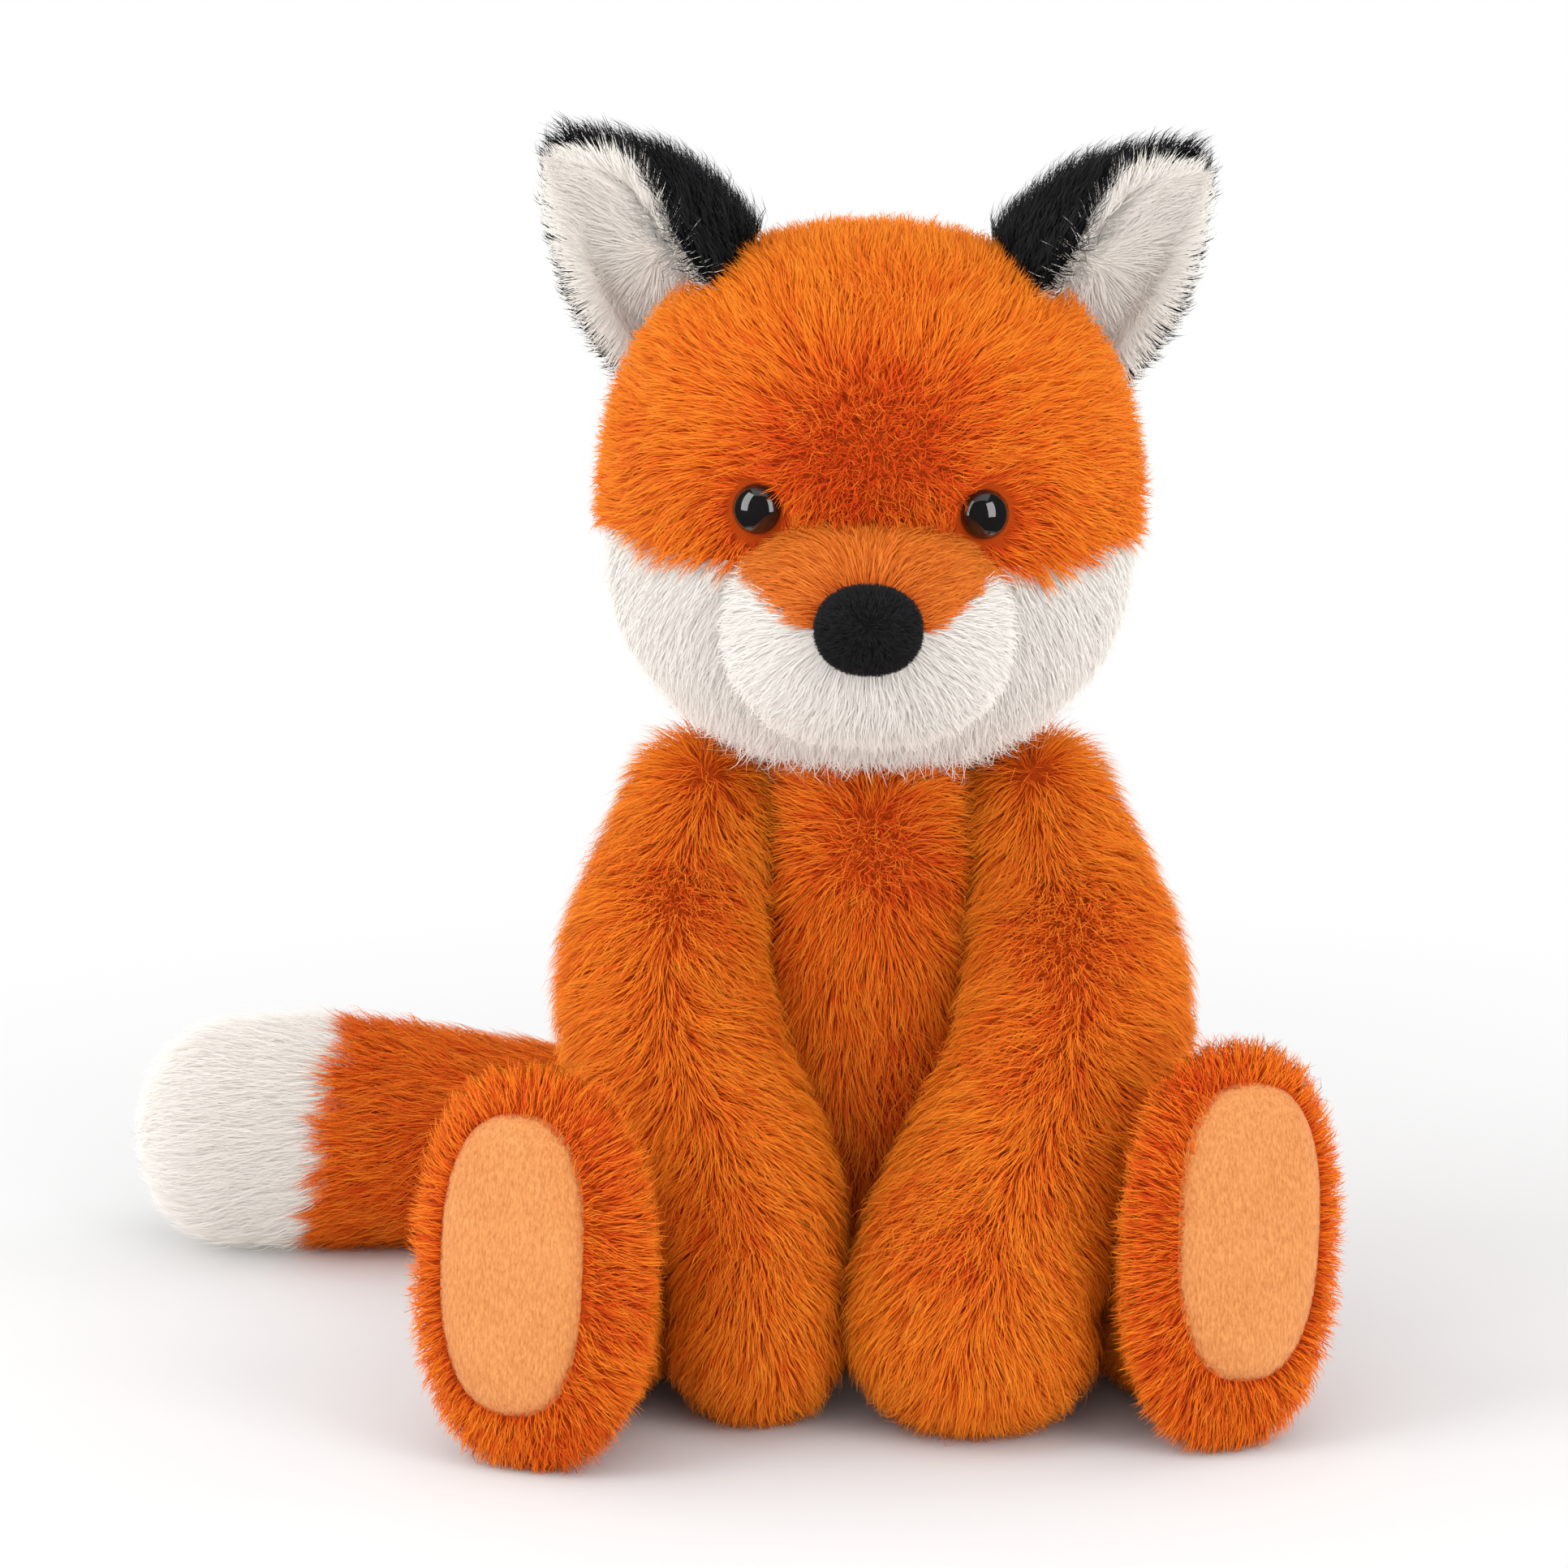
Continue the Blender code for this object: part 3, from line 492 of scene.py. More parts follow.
def inside_torso(points, margin):
    z, middle, width, depth = np.array(TORSO_LEVELS).T
    half_width, half_depth = (np.interp(points[:, 2], z, values) + margin for values in (width, depth))
    y = (points[:, 1] - np.interp(points[:, 2], z, middle)) / half_depth
    return ((points[:, 0] / half_width) ** 2 + y * y < 1) & (points[:, 2] < z[-1] + margin)


def inside_limb(points, stations, margin):
    path = smoothed(stations, 3)
    nearest = np.full(len(points), np.inf)
    for station in path:
        far = np.linalg.norm(points - station[:3], axis=1) - (station[3] + station[4]) / 2
        nearest = np.minimum(nearest, far)
    return nearest < margin


def add_object(name, mesh, material, body):
    """An object of one mesh and material, which rides on a body."""
    mesh.materials.append(material)
    obj = bpy.data.objects.new(name, mesh)
    bpy.context.scene.collection.objects.link(obj)
    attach(obj, body)
    return obj


def add_shell(name, points, sides, material, body):
    """A smooth closed object through rings of points in millimetres, capped at both ends."""
    points = np.asarray(points)
    last = len(points) // sides - 1
    faces = []
    for row in range(last):
        for i in range(sides):
            j = (i + 1) % sides
            faces.append((row * sides + i, row * sides + j, (row + 1) * sides + j, (row + 1) * sides + i))
    faces += [tuple(range(sides)), tuple(last * sides + i for i in range(sides))]
    mesh = bpy.data.meshes.new(name)
    mesh.from_pydata((points * MM).tolist(), [], faces)
    mesh.shade_smooth()
    return add_object(name, mesh, material, body)


def backing(name, form, material, body, nodes, place=None, patch=None):
    """The padded form under a coat, which stands for its solid. A patch of it may have another material."""
    points = form.points.reshape(-1, 3)
    points = points if place is None else place(points)
    points[:, 2] = np.maximum(points[:, 2], BACKING_LOW)
    obj = add_shell(name, points, form.points.shape[1], material, body)
    if patch is not None:
        other, inside = patch
        centres = (form.points[:-1] + np.roll(form.points[1:], -1, 1)).reshape(-1, 3) / 2
        obj.data.materials.append(other)
        obj.data.polygons.foreach_set("material_index", [*inside(centres).astype(int), 0, 0])
    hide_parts(*nodes)
    return obj


def strands(name, roots, normals, comb, coat, material, body, slot, seed, tone=0.0, place=None):
    """A mesh of tapered strands that grow from the roots and lie over the way that they are combed.

    The coat gives the strands' length and width in millimetres, lift in degrees at the root, how much they
    clump and stray, and how much their tone varies. Curl, from 0 to 1, sends them all ways, as in a whorl.
    The map's U is a strand's tone and V runs from root to tip.
    """
    rng = np.random.default_rng(seed)
    count = len(roots)
    uneven = coat.get("uneven", 0.2)
    length = np.asarray(coat["length"]) * rng.uniform(0.95 - uneven, 0.95 + uneven, count)
    lift = np.radians(coat["lift"] * np.ones(count))
    lift = lift + rng.normal(0, radians(coat.get("lift_spread", 7)), count)
    level_comb = comb - normals * dot(comb, normals)
    still = 1 - ease(np.linalg.norm(level_comb, axis=1), 0.1, 0.6)
    curl = np.maximum(coat.get("curl", 0.0) * np.ones(count), 0.7 * still)
    comb = unit(comb) + unit(rng.normal(size=(count, 3))) * (1.6 * curl**1.5)[:, None]
    flow = unit(comb - normals * dot(comb, normals))
    sway = coat.get("sway", 0.24)
    stray = 0.16 * rng.normal(size=count) + sway * waves(roots, 18, seed)
    stray = stray + 0.6 * sway * waves(roots, 7, seed + 1)
    flow = flow * np.cos(stray)[:, None] + np.cross(normals, flow) * np.sin(stray)[:, None]
    line = [roots - 0.6 * normals]
    for bend in (1.0, 0.62, 0.2):
        rise = np.clip(lift * bend, radians(4), radians(92))[:, None]
        step = flow * np.cos(rise) + normals * np.sin(rise)
        line.append(line[-1] + step * (length / 3)[:, None])
    line = np.array(line)
    kink = (coat.get("kink", 0.2) + 0.8 * curl) * length / 10
    line[2:] += rng.normal(0, 1, (2, count, 3)) * kink[None, :, None]
    gather(line, roots, coat["clump"] * (1 - 0.25 * curl), coat.get("clump_size", 2.2), rng)
    if place is not None:
        line, normals = place(line.reshape(-1, 3)).reshape(line.shape), place(roots, normals)[1]
    line[..., 2] = np.maximum(line[..., 2], STRAND_LOW)
    obj = add_object(name, ribbons(name, line, normals, coat, rng, tone), material, body)
    obj.visible_shadow = coat.get("shadow", True)


def grow(name, roots, normals, comb, coat, material, body, slot, seed, tone=0.0, place=None):
    """A coat in two layers: a dense lower one, and longer, lighter strands among it."""
    patch = coat.get("patchy", 0.0) * ease(waves(roots, 38, seed + 3), 0.1, 1.1)
    curl = np.maximum(coat.get("curl", 0.0), patch)
    mottle = 0.1 * waves(roots, 4, seed + 7) + 0.07 * waves(roots, 22, seed + 8)
    tone = tone - 0.35 * patch + mottle * (1 + curl)
    start = 0
    order = np.random.default_rng(seed + 5).permutation(len(roots))
    for number, (layer, share, longer, lighter, tighter) in enumerate(LAYERS):
        some = order[start : start + int(share * len(roots))]
        start += len(some)
        values = {key: value[some] if np.ndim(value) else value for key, value in coat.items()}
        values["length"] = values["length"] * longer
        values["clump"] = values["clump"] * tighter
        values["curl"] = curl[some]
        piece = roots[some], normals[some], comb[some], values
        label = f"{name}_{layer}"
        strands(label, *piece, material, body, slot, seed + 100 * number, tone[some] + lighter, place)


def gather(line, roots, clump, size, rng):
    """Draws the outer halves of the strands together in tufts."""
    count = len(roots)
    leaders = rng.choice(count, max(int(count / (size * size)), 1), replace=False)
    tree = kdtree.KDTree(len(leaders))
    for i, leader in enumerate(leaders):
        tree.insert(roots[leader], i)
    tree.balance()
    nearest = leaders[[tree.find(root)[1] for root in roots]]
    pull = (clump * np.ones(count) * rng.uniform(0.2, 1.1, count))[:, None]
    for level, share in ((1, 0.12), (2, 0.5), (3, 0.92)):
        line[level] += (line[level][nearest] - line[level]) * pull * share


def ribbons(name, line, normals, coat, rng, tone):
    """One flat tapered ribbon of five triangles along each line of four points."""
    count = line.shape[1]
    width = coat["width"] * rng.uniform(0.75, 1.25, count)
    along = unit(line[3] - line[0])
    shading = normals + 0.2 * along + coat.get("glow", 0.2) * np.array(GLOW)
    across = unit(np.cross(along, shading))
    twist = rng.uniform(-0.6, 0.6, count)[:, None]
    across = across * np.cos(twist) + np.cross(along, across) * np.sin(twist)
    points = []
    for level, taper in enumerate((1.0, 0.95, 0.7)):
        half = across * (width * taper / 2)[:, None]
        points += [line[level] - half, line[level] + half]
    points = np.stack([*points, line[3]], 1)
    shading = unit(shading + rng.normal(0, coat.get("glint", 0.1), (count, 3)))
    mesh = bpy.data.meshes.new(name)
    mesh.vertices.add(count * 7)
    mesh.vertices.foreach_set("co", (points * MM).astype(np.float32).ravel())
    corners = np.array((0, 1, 3, 2, 2, 3, 5, 4, 4, 5, 6))
    mesh.loops.add(count * 11)
    each = np.arange(count, dtype=np.int32)[:, None]
    mesh.loops.foreach_set("vertex_index", (each * 7 + corners).astype(np.int32).ravel())
    mesh.polygons.add(count * 3)
    mesh.polygons.foreach_set("loop_start", (each * 11 + (0, 4, 8)).astype(np.int32).ravel())
    mesh.update(calc_edges=True)
    mesh.shade_smooth()
    tones = np.clip(0.5 + tone + rng.normal(0, coat.get("spread", 0.28), count), 0.03, 0.97)
    u = np.stack([tones - 0.008, tones + 0.008] * 3 + [tones], 1)
    v = np.broadcast_to((0.02, 0.02, 0.35, 0.35, 0.68, 0.68, 0.98), (count, 7))
    places = np.stack((u, v), -1)[:, corners]
    mesh.uv_layers.new(name="OFBake").data.foreach_set("uv", places.astype(np.float32).ravel())
    mesh.normals_split_custom_set_from_vertices(np.repeat(shading, 7, 0))
    return mesh


def set_inputs(node, values):
    for name, value in values.items():
        node.inputs[name].default_value = value


def new_material(name, roughness, values):
    """A material, its node tree and its shader, which has these values beside its roughness."""
    material = bpy.data.materials.new(name)
    material.use_nodes = True
    shader = material.node_tree.nodes["Principled BSDF"]
    set_inputs(shader, {"Roughness": roughness, **values})
    return material, material.node_tree, shader


def add_noise(tree, scale, detail=2, vector=None):
    node = tree.nodes.new("ShaderNodeTexNoise")
    set_inputs(node, {"Scale": scale, "Detail": detail})
    if vector is not None:
        tree.links.new(vector, node.inputs["Vector"])
    return node


def ramp(tree, factor, stops):
    """A colour ramp over a factor, from its stops of place and colour."""
    node = tree.nodes.new("ShaderNodeValToRGB")
    elements = node.color_ramp.elements
    while len(elements) < len(stops):
        elements.new(0.5)
    for element, (place, colour) in zip(elements, stops):
        element.position = place
        element.color = (*colour, 1)
    tree.links.new(factor, node.inputs["Fac"])
    return node.outputs["Color"]


def paint(tree, factor, stops, shader):
    """Colours a shader by a ramp over a factor."""
    tree.links.new(ramp(tree, factor, stops), shader.inputs["Base Color"])


def mix(tree, factor, first, second):
    """Mixes the colours of two sockets by a factor, which is a socket or a number."""
    node = tree.nodes.new("ShaderNodeMix")
    node.data_type = "RGBA"
    for name, value in (("Factor_Float", factor), ("A_Color", first), ("B_Color", second)):
        socket = next(s for s in node.inputs if s.identifier == name)
        if isinstance(value, bpy.types.NodeSocket):
            tree.links.new(value, socket)
        else:
            socket.default_value = value
    return next(s for s in node.outputs if s.identifier == "Result_Color")


def coat_material(name, colours, sheen):
    """Strands that are deep at the root and pale at the tip, each between a dark and a light tone."""
    values = {"Sheen Weight": 0.55, "Sheen Roughness": 0.6, "Sheen Tint": (*sheen, 1)}
    material, tree, shader = new_material(name, 0.7, {"Specular IOR Level": 0.12, **values})
    strand = tree.nodes.new("ShaderNodeUVMap")
    strand.uv_map = "OFBake"
    parts = tree.nodes.new("ShaderNodeSeparateXYZ")
    tree.links.new(strand.outputs["UV"], parts.inputs["Vector"])
    tones = [ramp(tree, parts.outputs["Y"], tuple(zip((0.05, 0.5, 0.95), shades))) for shades in colours]
    tree.links.new(mix(tree, parts.outputs["X"], *tones), shader.inputs["Base Color"])
    tree.links.new(own_normal(tree), shader.inputs["Normal"])
    return material


def own_normal(tree):
    """A strand's own normal on both of its sides, so that it is lit like the coat round it."""
    geometry = tree.nodes.new("ShaderNodeNewGeometry")
    side = tree.nodes.new("ShaderNodeMath")
    side.operation = "MULTIPLY_ADD"
    tree.links.new(geometry.outputs["Backfacing"], side.inputs[0])
    side.inputs[1].default_value = -2
    side.inputs[2].default_value = 1
    turned = tree.nodes.new("ShaderNodeVectorMath")
    turned.operation = "SCALE"
    tree.links.new(geometry.outputs["Normal"], turned.inputs[0])
    tree.links.new(side.outputs["Value"], turned.inputs["Scale"])
    return turned.outputs["Vector"]


def backing_material(name, colour):
    """The woven ground under a coat, mottled darker and lighter at random."""
    material, tree, shader = new_material(name, 0.95, {"Specular IOR Level": 0.1})
    stops = (0.35, tuple(value * 0.85 for value in colour)), (0.65, colour)
    paint(tree, add_noise(tree, 900, 3).outputs["Fac"], stops, shader)
    return material


def velour_material():
    """Short brushed velour: fine upright nap lines, a slightly mottled colour and a soft sheen."""
    values = {"Sheen Weight": 0.15, "Sheen Roughness": 0.5, "Specular IOR Level": 0.15}
    material, tree, shader = new_material("peach velour", 0.8, values)
    places = tree.nodes.new("ShaderNodeTexCoord")
    stretch = tree.nodes.new("ShaderNodeMapping")
    set_inputs(stretch, {"Scale": (1, 1, 0.28)})
    tree.links.new(places.outputs["Object"], stretch.inputs["Vector"])
    nap = add_noise(tree, 1800, 2, stretch.outputs["Vector"])
    set_inputs(nap, {"Roughness": 0.7})
    patches = add_noise(tree, 45, 3, places.outputs["Object"])
    fine = ramp(tree, nap.outputs["Fac"], ((0.3, (0.46, 0.13, 0.03)), (0.7, (0.84, 0.37, 0.125))))
    broad = ramp(tree, patches.outputs["Fac"], ((0.3, (0.64, 0.225, 0.06)), (0.7, (0.72, 0.29, 0.09))))
    tree.links.new(mix(tree, 0.4, fine, broad), shader.inputs["Base Color"])
    add_bump(tree, nap.outputs["Fac"], 0.5, 0.0003, shader)
    return material


def eye_material():
    values = {"Specular IOR Level": 0.9, "Coat Weight": 1, "Coat Roughness": 0.03}
    material, tree, shader = new_material("glossy black plastic", 0.06, values)
    stops = (0.4, (0.006, 0.005, 0.005)), (0.6, (0.010, 0.009, 0.009))
    paint(tree, add_noise(tree, 400).outputs["Fac"], stops, shader)
    return material


def fibre_material():
    """Loose white polyester fibre, in crossing wisps."""
    material, tree, shader = new_material("loose fibre", 0.9, {"Sheen Weight": 0.2})
    noise = add_noise(tree, 160, 6)
    set_inputs(noise, {"Distortion": 2})
    paint(tree, noise.outputs["Fac"], ((0.35, (0.70, 0.70, 0.71)), (0.65, (0.90, 0.90, 0.90))), shader)
    add_bump(tree, noise.outputs["Fac"], 0.8, 0.001, shader)
    return material


def bag_material():
    """Plain-woven cloth, bumpy with the pellets behind it."""
    material, tree, shader = new_material("bag cloth", 0.85, {})
    places = tree.nodes.new("ShaderNodeTexCoord")
    threads = []
    for direction in ("X", "Z"):
        wave = tree.nodes.new("ShaderNodeTexWave")
        wave.bands_direction = direction
        set_inputs(wave, {"Scale": 320})
        tree.links.new(places.outputs["Object"], wave.inputs["Vector"])
        threads.append(wave.outputs["Fac"])
    pellets = tree.nodes.new("ShaderNodeTexVoronoi")
    set_inputs(pellets, {"Scale": 300})
    tree.links.new(places.outputs["Object"], pellets.inputs["Vector"])
    weave = arithmetic(tree, "MULTIPLY", *threads)
    paint(tree, weave, ((0.0, (0.72, 0.71, 0.69)), (1.0, (0.90, 0.89, 0.87))), shader)
    add_bump(tree, arithmetic(tree, "SUBTRACT", weave, pellets.outputs["Distance"]), 0.5, 0.0005, shader)
    return material


def nylon_material():
    """Moulded white nylon with a faint grain."""
    material, tree, shader = new_material("white nylon", 0.45, {})
    grain = add_noise(tree, 700).outputs["Fac"]
    stops = (0.3, (0.84, 0.84, 0.83)), (0.7, (0.90, 0.90, 0.89))
    paint(tree, grain, stops, shader)
    add_bump(tree, grain, 0.2, 0.0001, shader)
    return material


def add_bump(tree, height, strength, distance, shader):
    bump = tree.nodes.new("ShaderNodeBump")
    set_inputs(bump, {"Strength": strength, "Distance": distance})
    tree.links.new(height, bump.inputs["Height"])
    tree.links.new(bump.outputs["Normal"], shader.inputs["Normal"])


def dress_inside(nodes):
    """Finishes what shows only when the toy is open: its stuffing, pellet bag and eye washers."""
    looks = {"stuffing": fibre_material(), "bag": bag_material(), "washer": nylon_material()}
    for name, node in nodes.items():
        look = looks.get(name.split("_")[-1])
        if look is not None:
            for slot in node.material_slots:
                slot.material = look


def whorl(points, centre, radius):
    """The way out from a whorl, and how near each point is to it, from 1 at its middle to 0 at its radius."""
    away = points - np.array(centre)
    return unit(away), 1 - ease(np.linalg.norm(away, axis=1), radius * 0.15, radius)


def eye_place(sign):
    """The point of the head's surface where an eye sits, and the direction that it looks in."""
    scale = float(head_scale(EYE_Z))
    depth = sqrt(1 - (EYE_X / (HEAD_HALF_WIDTH * scale)) ** 2) * HEAD_HALF_DEPTH * scale
    reach = HEAD_TOP - HEAD_MIDDLE
    look = (sign * EYE_X / HEAD_HALF_WIDTH**2, -depth / HEAD_HALF_DEPTH**2, 7 / reach**2)
    return np.array((sign * EYE_X, HEAD_CENTRE_Y - depth, EYE_Z)), unit(np.array(look))


def eye_gaps(points):
    """How far places on the head are from the nearer eye, and the way out from it."""
    gap, away = np.full(len(points), np.inf), np.zeros_like(points)
    for sign in (-1, 1):
        from_eye = points - eye_place(sign)[0]
        far = np.linalg.norm(from_eye, axis=1)
        away[far < gap] = unit(from_eye)[far < gap]
        gap = np.minimum(gap, far)
    return gap, away


def white_face(points):
    """Whether places on the head lie on its white panel."""
    seam = WHITE_FACE_TOP + 4 * ease(abs(points[:, 0]), 40, 58) + 0.9 * waves(points, 9, 5)
    return (points[:, 2] < seam) & (points[:, 1] < WHITE_FACE_BACK + waves(points, 9, 6))


def dress_head(looks):
    form = head_form(BACKING)
    ground = looks["orange ground"]
    patch = looks["white ground"], white_face
    nodes = ("crown_cover", "face_cover")
    backing("head_backing", form, ground, "head", nodes, place=turn_head, patch=patch)
    points, normals, _, _ = form.scatter(DENSITY["head"], 11)
    sparse = np.random.default_rng(12).random(len(points)) < HEAD_THINNING
    muzzle = (abs(points[:, 0]) / (MUZZLE_HALF_WIDTH - 4)) ** 2.5
    muzzle += (abs(points[:, 2] - MUZZLE_Z) / (MUZZLE_HALF_HEIGHT - 4)) ** 2.5
    keep = ~((muzzle < 1) & (points[:, 1] < -20))
    near_eye, away_from_eye = eye_gaps(points)
    keep &= near_eye > EYE_RADIUS + 1.1
    white = white_face(points)
    keep &= points[:, 2] > NECK_HEIGHT + 0.5
    for name, area, coat, seed in (
        ("crown_fur", keep & ~white & sparse, "orange", 21),
        ("cheek_fur", keep & white, "white", 22),
    ):
        p, n, eye_gap, from_eye = points[area], normals[area], near_eye[area], away_from_eye[area]
        round_eye = 1 - ease(eye_gap, 7, 17)
        if coat == "orange":
            comb, middle = whorl(p * (0.8, 1, 1), FOREHEAD_WHORL, 29)
            comb = comb + np.array((0, 0.3, -0.25)) * ease(p[:, 1], -10, 40)[:, None]
            length = 10.5 - 4.5 * middle - 4.5 * round_eye * (1 - middle)
            lift = 47 + 33 * middle - 5 * round_eye
            # The tone darkens round the eyes as painted shade of the sunken sockets, and lightens towards the
            # top of the crown as a painted highlight.
            tone = 0.15 - 0.7 * middle - 0.25 * round_eye + 0.08 * ease(p[:, 2], 235, 265)
        else:
            comb = unit(p - np.array((0, -20, 200))) + np.array((0, 0, -0.8))
            chin = 1 - ease(p[:, 2], 152, 172)
            middle = 0.25 * chin
            length = 8.5 + 8 * chin * np.random.default_rng(seed).random(len(p)) ** 2 - 3 * round_eye
            lift = 30 + 14 * chin
            tone = 0.0
        comb = comb + from_eye * (1.1 * round_eye)[:, None]
        values = {**COATS[coat], "length": length, "lift": lift, "curl": middle}
        grow(name, p, n, comb, values, looks[coat], "head", f"{coat}_pile", seed, tone, turn_head)


def muzzle_top(points):
    """Whether places on the muzzle lie on its brown panel."""
    return points[:, 2] > MUZZLE_SEAM_LOW + MUZZLE_SEAM_SLOPE * abs(points[:, 0]) + 0.5 * waves(points, 5, 3)


def dress_muzzle(looks):
    form = muzzle_form(BACKING)
    ground = looks["white ground"]
    patch = looks["brown ground"], muzzle_top
    nodes = ("muzzle_top_cover", "muzzle_cover")
    backing("muzzle_backing", form, ground, "head", nodes, place=turn_head, patch=patch)
    points, normals, _, _ = form.scatter(DENSITY["muzzle"], 31)
    nose = np.linalg.norm((points - np.array(NOSE_CENTRE)) / (np.array(NOSE_HALF_SIZE) - 0.5), axis=1)
    near_eye, _ = eye_gaps(points)
    keep = ~inside_head(points, -2) & (nose > 1) & (near_eye > EYE_RADIUS + 2)
    top = muzzle_top(points)
    for name, area, coat, seed in (
        ("muzzle_top_fur", keep & top, "brown", 32),
        ("muzzle_fur", keep & ~top, "white", 33),
    ):
        p, n = points[area], normals[area]
        if coat == "brown":
            root = ease(p[:, 1], -70, -52)
            comb = np.stack((p[:, 0] / 12, 0.7 - 0.3 * root, 0.1 + 0.6 * root), 1)
            full = root * ease(near_eye[area], 9, 20)
            length = 7.0 + 3.0 * full
            lift = 38 + 10 * full
        else:
            comb = unit(p - np.array((0, -95, 196))) + np.array((0, 0.3, -0.35))
            low = 1 - ease(p[:, 2], 162, 178)
            comb[:, 2] -= 0.8 * low
            length = 7.5 + np.maximum(4.5 * low, 1.5 * ease(p[:, 1], -75, -50))
            lift = 32 - 8 * ease(p[:, 1], -75, -50)
        values = {"length": length, "lift": lift, **COATS[coat]}
        grow(name, p, n, comb, values, looks[coat], "head", f"{coat}_pile", seed, place=turn_head)


def dress_nose(looks):
    form = nose_form(0.5)
    backing("nose_backing", form, looks["black ground"], "head", ("nose",), turn_head)
    points, normals, _, _ = form.scatter(DENSITY["nose"], 41)
    front = points[:, 1] < NOSE_CENTRE[1] + 3
    p, n = points[front], normals[front]
    comb = p - np.array((0, -97, 197))
    coat = {"length": 2.4, "lift": 62, **COATS["nose"]}
    strands("nose_pile", p, n, comb, coat, looks["black"], "head", "nose_pile", 42, place=turn_head)


def dress_eyes(looks):
    for side, sign in (("left", 1), ("right", -1)):
        eye, look = eye_place(sign)
        axis = Vector(look)
        across = axis.orthogonal().normalized()
        up = axis.cross(across)
        rings = []
        for forward, inset in ((-3.2, 5.9), (-3.2, 1.5), (-3.1, 0.4), (-2.7, 0), (-2.2, 0)):
            radius = EYE_RADIUS - inset
            rings.append(ellipse(eye + look * forward, across, up, radius, radius, sides=EYE_SIDES))
        for angle in np.radians((8, 16, 24, 32, 40, 48, 56, 64, 71, 78, 84, 89)):
            forward = -2.2 + 4.4 * sin(angle)
            radius = EYE_RADIUS * cos(angle)
            rings.append(ellipse(eye + look * forward, across, up, radius, radius, sides=EYE_SIDES))
        obj = add_shell(f"{side}_eye_dome", turn_head(np.vstack(rings)), EYE_SIDES, looks["eye"], "head")
        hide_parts(f"{side}_eye")


def dress_ears(looks):
    for side, sign in (("left", 1), ("right", -1)):
        base, up, _ = ear_frame(sign)
        panel = f"{side}_ear_back"
        back = ear_form(sign, 1.6, 4.8, 1.2)
        ground = looks["black ground"]
        backing(f"{panel}_panel", back, ground, "head", (panel,), turn_head)
        points, normals, _, columns = back.scatter(DENSITY["ear back"], 51)
        outer = (columns < 25) | (columns > 49)
        keep = outer & ~inside_head(points, 1.5)
        p, n = points[keep], normals[keep]
        comb = up + unit(p - (base + up * 12)) * 0.8
        outer_rim = 1 - ease(abs(columns[keep] - 24.5), 3, 8)
        inner_rim = 1 - ease(columns[keep] % 49, 6, 14)
        tip = ease((p - base) @ up, 30, 46)
        length = 7.5 - 3 * outer_rim * (1 - tip) + 0.5 * inner_rim
        lift = 50 - 8 * outer_rim + 22 * inner_rim
        coat = {"length": length, "lift": lift, "clump": 0.55 - 0.4 * outer_rim, **COATS["ear back"]}
        grow(f"{panel}_fur", p, n, comb, coat, looks["black"], "head", "black_pile", 52, place=turn_head)
        panel = f"{side}_ear_front"
        front = ear_form(sign, 5.2, 11, 1.4, 0.5)
        ground = looks["white ground"]
        backing(f"{panel}_panel", front, ground, "head", (panel,), turn_head)
        points, normals, _, columns = front.scatter(DENSITY["ear front"], 53)
        inner = (columns > 23.2) | (columns < 0.8)
        keep = inner & ~inside_head(points, 0.5)
        p, n = points[keep], normals[keep]
        rim = ease(abs(columns[keep] - 37), 7, 12)
        comb = up * 0.3 + unit(p - (base + up * 14)) * 1.2
        tip = ease((p - base) @ up, 32, 46)
        coat = {**COATS["white"], "length": 8.0 - 4 * tip, "lift": 36 + 6 * rim, "glow": 0.5}
        grow(f"{panel}_fur", p, n, comb, coat, looks["white"], "head", "white_ear_pile", 54, place=turn_head)


def dress_torso(looks):
    form = torso_form(BACKING)
    backing("torso_backing", form, looks["orange ground"], "torso", ("torso_cover",))
    points, normals, _, _ = form.scatter(DENSITY["torso"], 61)
    keep = (points[:, 2] < 149) & (points[:, 2] > BACKING + 0.3)
    for stations in (LEFT_ARM, RIGHT_ARM, LEFT_LEG, RIGHT_LEG):
        keep &= ~inside_limb(points, stations, -3)
    p, n = points[keep], normals[keep]
    comb, middle = whorl(p, CHEST_WHORL, 20)
    comb = comb + np.array((0, 0, -0.45))
    coat = {**COATS["orange"], "length": 10.5 - 4 * middle, "lift": 48 + 30 * middle, "curl": middle}
    grow("torso_fur", p, n, comb, coat, looks["orange"], "torso", "orange_pile", 62, 0.05 - 0.25 * middle)


def dress_arm(side, stations, looks):
    """An arm's coat parts along the middle of its front and lies down and out from there."""
    form = limb_form(stations, ARM_DOMES, BACKING)
    arm = f"{side}_arm"
    backing(f"{arm}_backing", form, looks["orange ground"], arm, (f"{arm}_cover",))
    points, normals, _, _ = form.scatter(DENSITY["limb"], 71)
    keep = ~inside_torso(points, -2)
    p, n = points[keep], normals[keep]
    path = np.array(stations)[::-1]
    middle_x = np.interp(p[:, 2], path[:, 2], path[:, 0])
    aside = np.clip((p[:, 0] - middle_x) / 11, -1, 1) * (0.35 + 0.65 * ease(p[:, 2], 30, 90))
    shoulder = ease(p[:, 2], 140, 152)
    comb = np.stack((1.1 * aside, -0.1 + 0.6 * shoulder, -0.75 + 0.85 * shoulder), 1)
    curly = 1 - ease(np.linalg.norm(p - ARM_WHORLS[side][0], axis=1), 4, ARM_WHORLS[side][1])
    length = 10.5 - 3.5 * curly + 3 * shoulder
    coat = {**COATS["orange"], "length": length, "lift": 48 + 20 * curly, "curl": 0.75 * curly}
    # The tone lightens over the shoulder as painted light: the bright rim that light from behind gives the
    # shoulder's fringe.
    tone = 0.2 + 0.3 * shoulder - 0.3 * curly
    grow(f"{arm}_fur", p, n, comb, coat, looks["orange"], arm, "orange_pile", 72, tone)


